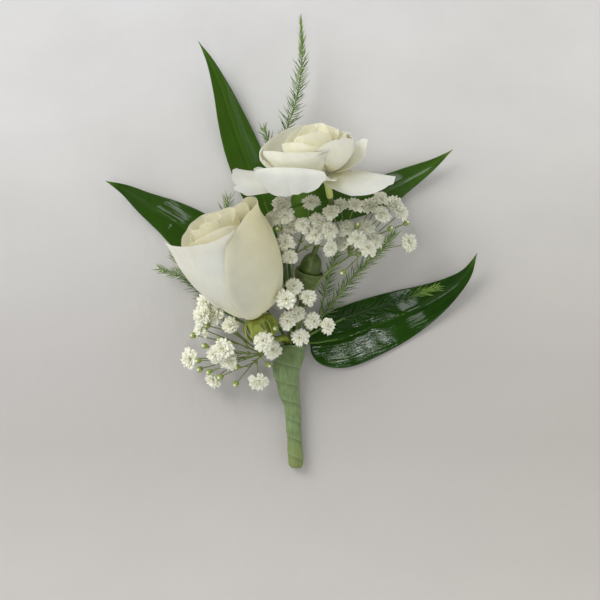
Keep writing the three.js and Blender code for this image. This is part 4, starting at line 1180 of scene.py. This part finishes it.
# Rings of a floret's petals: how many, how long, how wide, how steep, how high they start.
FLORET_RINGS = [
    (7, 1.0, 0.36, 4, 0.0),
    (7, 0.88, 0.33, 24, 0.05),
    (6, 0.66, 0.28, 46, 0.1),
    (5, 0.42, 0.22, 68, 0.12),
]
FLORET_THICKNESS = 0.12


def floret(piece, matrix, radius, n, seed):
    t, s = np.meshgrid(np.linspace(0, 1, 6), np.linspace(-1, 1, 7), indexing="ij")
    green = 0.8 * (1 - ease(t, 0.0, 0.4))
    uv = stacked(s, 0.35 + t)
    for ring, (count, long, wide, steep, high) in enumerate(FLORET_RINGS):
        for k in range(count):
            m = 31 * n + 7 * ring + k
            turn = 2 * math.pi * (k + 0.5 * ring + 0.5 * (draw(m, seed + 5) - 0.5)) / count
            tilt = math.radians(steep + 26 * (draw(m, seed + 6) - 0.5))
            length = radius * long * mix(0.8, 1.08, draw(m, seed + 7))
            width = radius * wide * mix(0.85, 1.15, draw(m, seed + 8))
            half = width * mix(0.22, 1, ease(t, 0.0, 0.75)) * (1 - 0.35 * ease(t, 0.85, 1.0))
            notch = 0.16 * np.exp(-((s / 0.22) ** 2)) + 0.05 * np.cos(9 * s)
            out = t * length * (1 - notch * ease(t, 0.6, 1))
            fold = 0.10 * radius * np.sin(4 * s + 6 * draw(m, seed + 9)) * ease(t, 0.3, 1)
            bend = mix(0.05, 0.3, draw(m, seed + 10)) * length * t * t
            rise = out * math.sin(tilt) - bend + 0.3 * width * s * s + fold + high * radius
            reach = out * math.cos(tilt) + 0.06 * radius
            points = placed(swung(reach, s * half, rise, turn), matrix)
            shell(piece, points, FLORET_THICKNESS, green, uv)


CUP_SHAPE = [(0, 0), (0.42, 0.02), (0.82, 0.22), (1.0, 0.55), (0.86, 0.9), (0, 1.0)]
BUD_TIP = [(0, 1.6), (0.55, 1.8), (0.45, 2.4), (0, 2.8)]


def green_cup(piece, matrix, long, wide):
    """The ribbed cup under a floret, or a closed bud: green with pale seams."""
    profile = [(wide * r, long * h) for r, h in CUP_SHAPE]
    seams = 0.5 + 0.5 * np.cos(10 * np.pi * around(20))
    height = np.linspace(0, 1, 9)[:, None]
    tone = np.clip(0.15 + 0.65 * seams**3 + 0.3 * height, 0, 1)
    turned(piece, profile, matrix, 20, 9, tone=tone)


def bract(piece, root, direction):
    """A small pointed leaf at a fork of the stems."""
    path = root + direction * BRACT_LENGTH * np.linspace(0, 1, 6)[:, None]
    tube(piece, path, BRACT_LENGTH * np.array([0.10, 0.17, 0.16, 0.11, 0.06, 0.01]), 6, 0.3)


def breath(name):
    """A spray of florets and buds, each raised as far as the solid spray raises it."""
    spray = SPRAYS[name]
    seed = spray["seed"]
    flowers, greens = Piece(), Piece()
    fork = np.array(spray["fork"], float)
    main = stem_path([*bound_end(name), *spray["route"], spray["fork"]])
    tube(greens, main, np.linspace(0.42, 0.32, len(main)), 10, 0.1)
    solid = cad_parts[name].data.vertices
    tree = kdtree.KDTree(len(solid))
    for k, vertex in enumerate(solid):
        tree.insert(vertex.co / MM, k)
    tree.balance()
    for n, (florets, buds) in enumerate(spray["branches"]):
        tips = np.array([*florets, *buds], float)
        node = mix(fork, tips.mean(axis=0), 0.55) - UP * 1.5
        bend = (fork + node) / 2 - UP * 0.6
        branch = Curve([fork, bend, node])
        tube(greens, branch.at(np.linspace(0, 1, 16)), np.linspace(0.3, 0.2, 16), 8, 0.2)
        along = unit(node - fork)
        for side in (-1, 1):
            direction = unit(node - fork + 5 * side * np.cross(along, UP))
            bract(greens, branch.at(0.5), direction)
        for k, tip in enumerate(tips):
            is_bud = k >= len(florets)
            root = branch.at(mix(0.3, 0.97, (k + 1) / len(tips)))
            order = 10 * n + k
            radius = FLORET_RADIUS * mix(0.85, 1.12, draw(order, seed))
            for lift in range(MOST_LIFT + 1):
                place = tip + UP * lift
                faces = unit(unit(place - root) * 0.9 + np.array(spray["facing"], float))
                crown = place + faces * (1.3 if is_bud else 0.55 * radius)
                if tree.find(Vector(crown))[2] < ON_SOLID:
                    break
            else:
                continue
            foot = place - faces * (1.1 if is_bud else 0.5 * radius)
            middle = (root + foot) / 2 - UP * 0.07 * np.linalg.norm(foot - root)
            tube(greens, stem_path([root, middle, foot], 0.6), STALK_RADIUS, 6, 0.35)
            matrix = facing_frame(foot - faces * 0.2, faces, 6.28 * draw(order, seed + 4))
            if is_bud:
                green_cup(greens, matrix, 2.3, 1.0)
                turned(flowers, BUD_TIP, matrix, 12, 8, tone=0.55)
            else:
                green_cup(greens, matrix, 0.62 * radius, 0.3 * radius)
                matrix[:3, 3] = place
                floret(flowers, matrix, radius * spray.get("full", 1.05), order, seed)
    flowers.build(name + "_florets", "breath", [BREATH_WHITE], name)
    greens.build(name + "_stems", "stem", [STEM_GREEN], name)


# The whole

floral_tape()
rosebud()
rosebud_greens()
bloom()
bloom_greens()
tape_cone()
for leaf_name, shape in LEAVES.items():
    leaf(leaf_name, **shape)
for fern_name in FERNS:
    fern(fern_name)
for spray_name in SPRAYS:
    breath(spray_name)


# Floor and light

floor_mesh = bpy.data.meshes.new("floor")
floor_mesh.from_pydata([(-2, -2, 0), (2, -2, 0), (2, 2, 0), (-2, 2, 0)], [], [(0, 1, 2, 3)])
floor_mesh.materials.append(floor_material())
floor = added("floor", floor_mesh)

LIGHT_AIM = Vector((0, 0.02, 0.01))


def area_light(name, place, size, power, spin=0.0):
    data = bpy.data.lights.new(name, "AREA")
    data.shape, data.size, data.size_y, data.energy = "RECTANGLE", *size, power
    light = added(name, data)
    light.location = place
    aim = (LIGHT_AIM - Vector(place)).to_track_quat("-Z", "Y")
    light.rotation_euler = (aim @ Quaternion((0, 0, 1), math.radians(spin))).to_euler()


area_light("window", (-0.62, 0.55, 0.70), (0.60, 0.60), 5.8)
# Two smaller panes, which the glossy leaves mirror as patches.
area_light("pane_right", (0.092, 0.064, 0.90), (0.045, 0.035), 0.15)
area_light("pane_left", (-0.05, -0.21, 0.90), (0.12, 0.40), 1.05, 42)

# The sky is bright round the horizon and dim overhead, where a camera and its holder stand.
world = bpy.data.worlds.new("studio")
sky = Wiring(world)
background = sky.tree.nodes["Background"]
sky.put(background.inputs["Color"], (0.97, 0.985, 1.0, 1))
sky.put(background.inputs["Strength"], sky.ranged(sky.axes(sky.sky)["Z"], 0.5, 0.93, 1.08, 0.05))
bpy.context.scene.world = world
bpy.context.scene.view_settings.view_transform = "Standard"
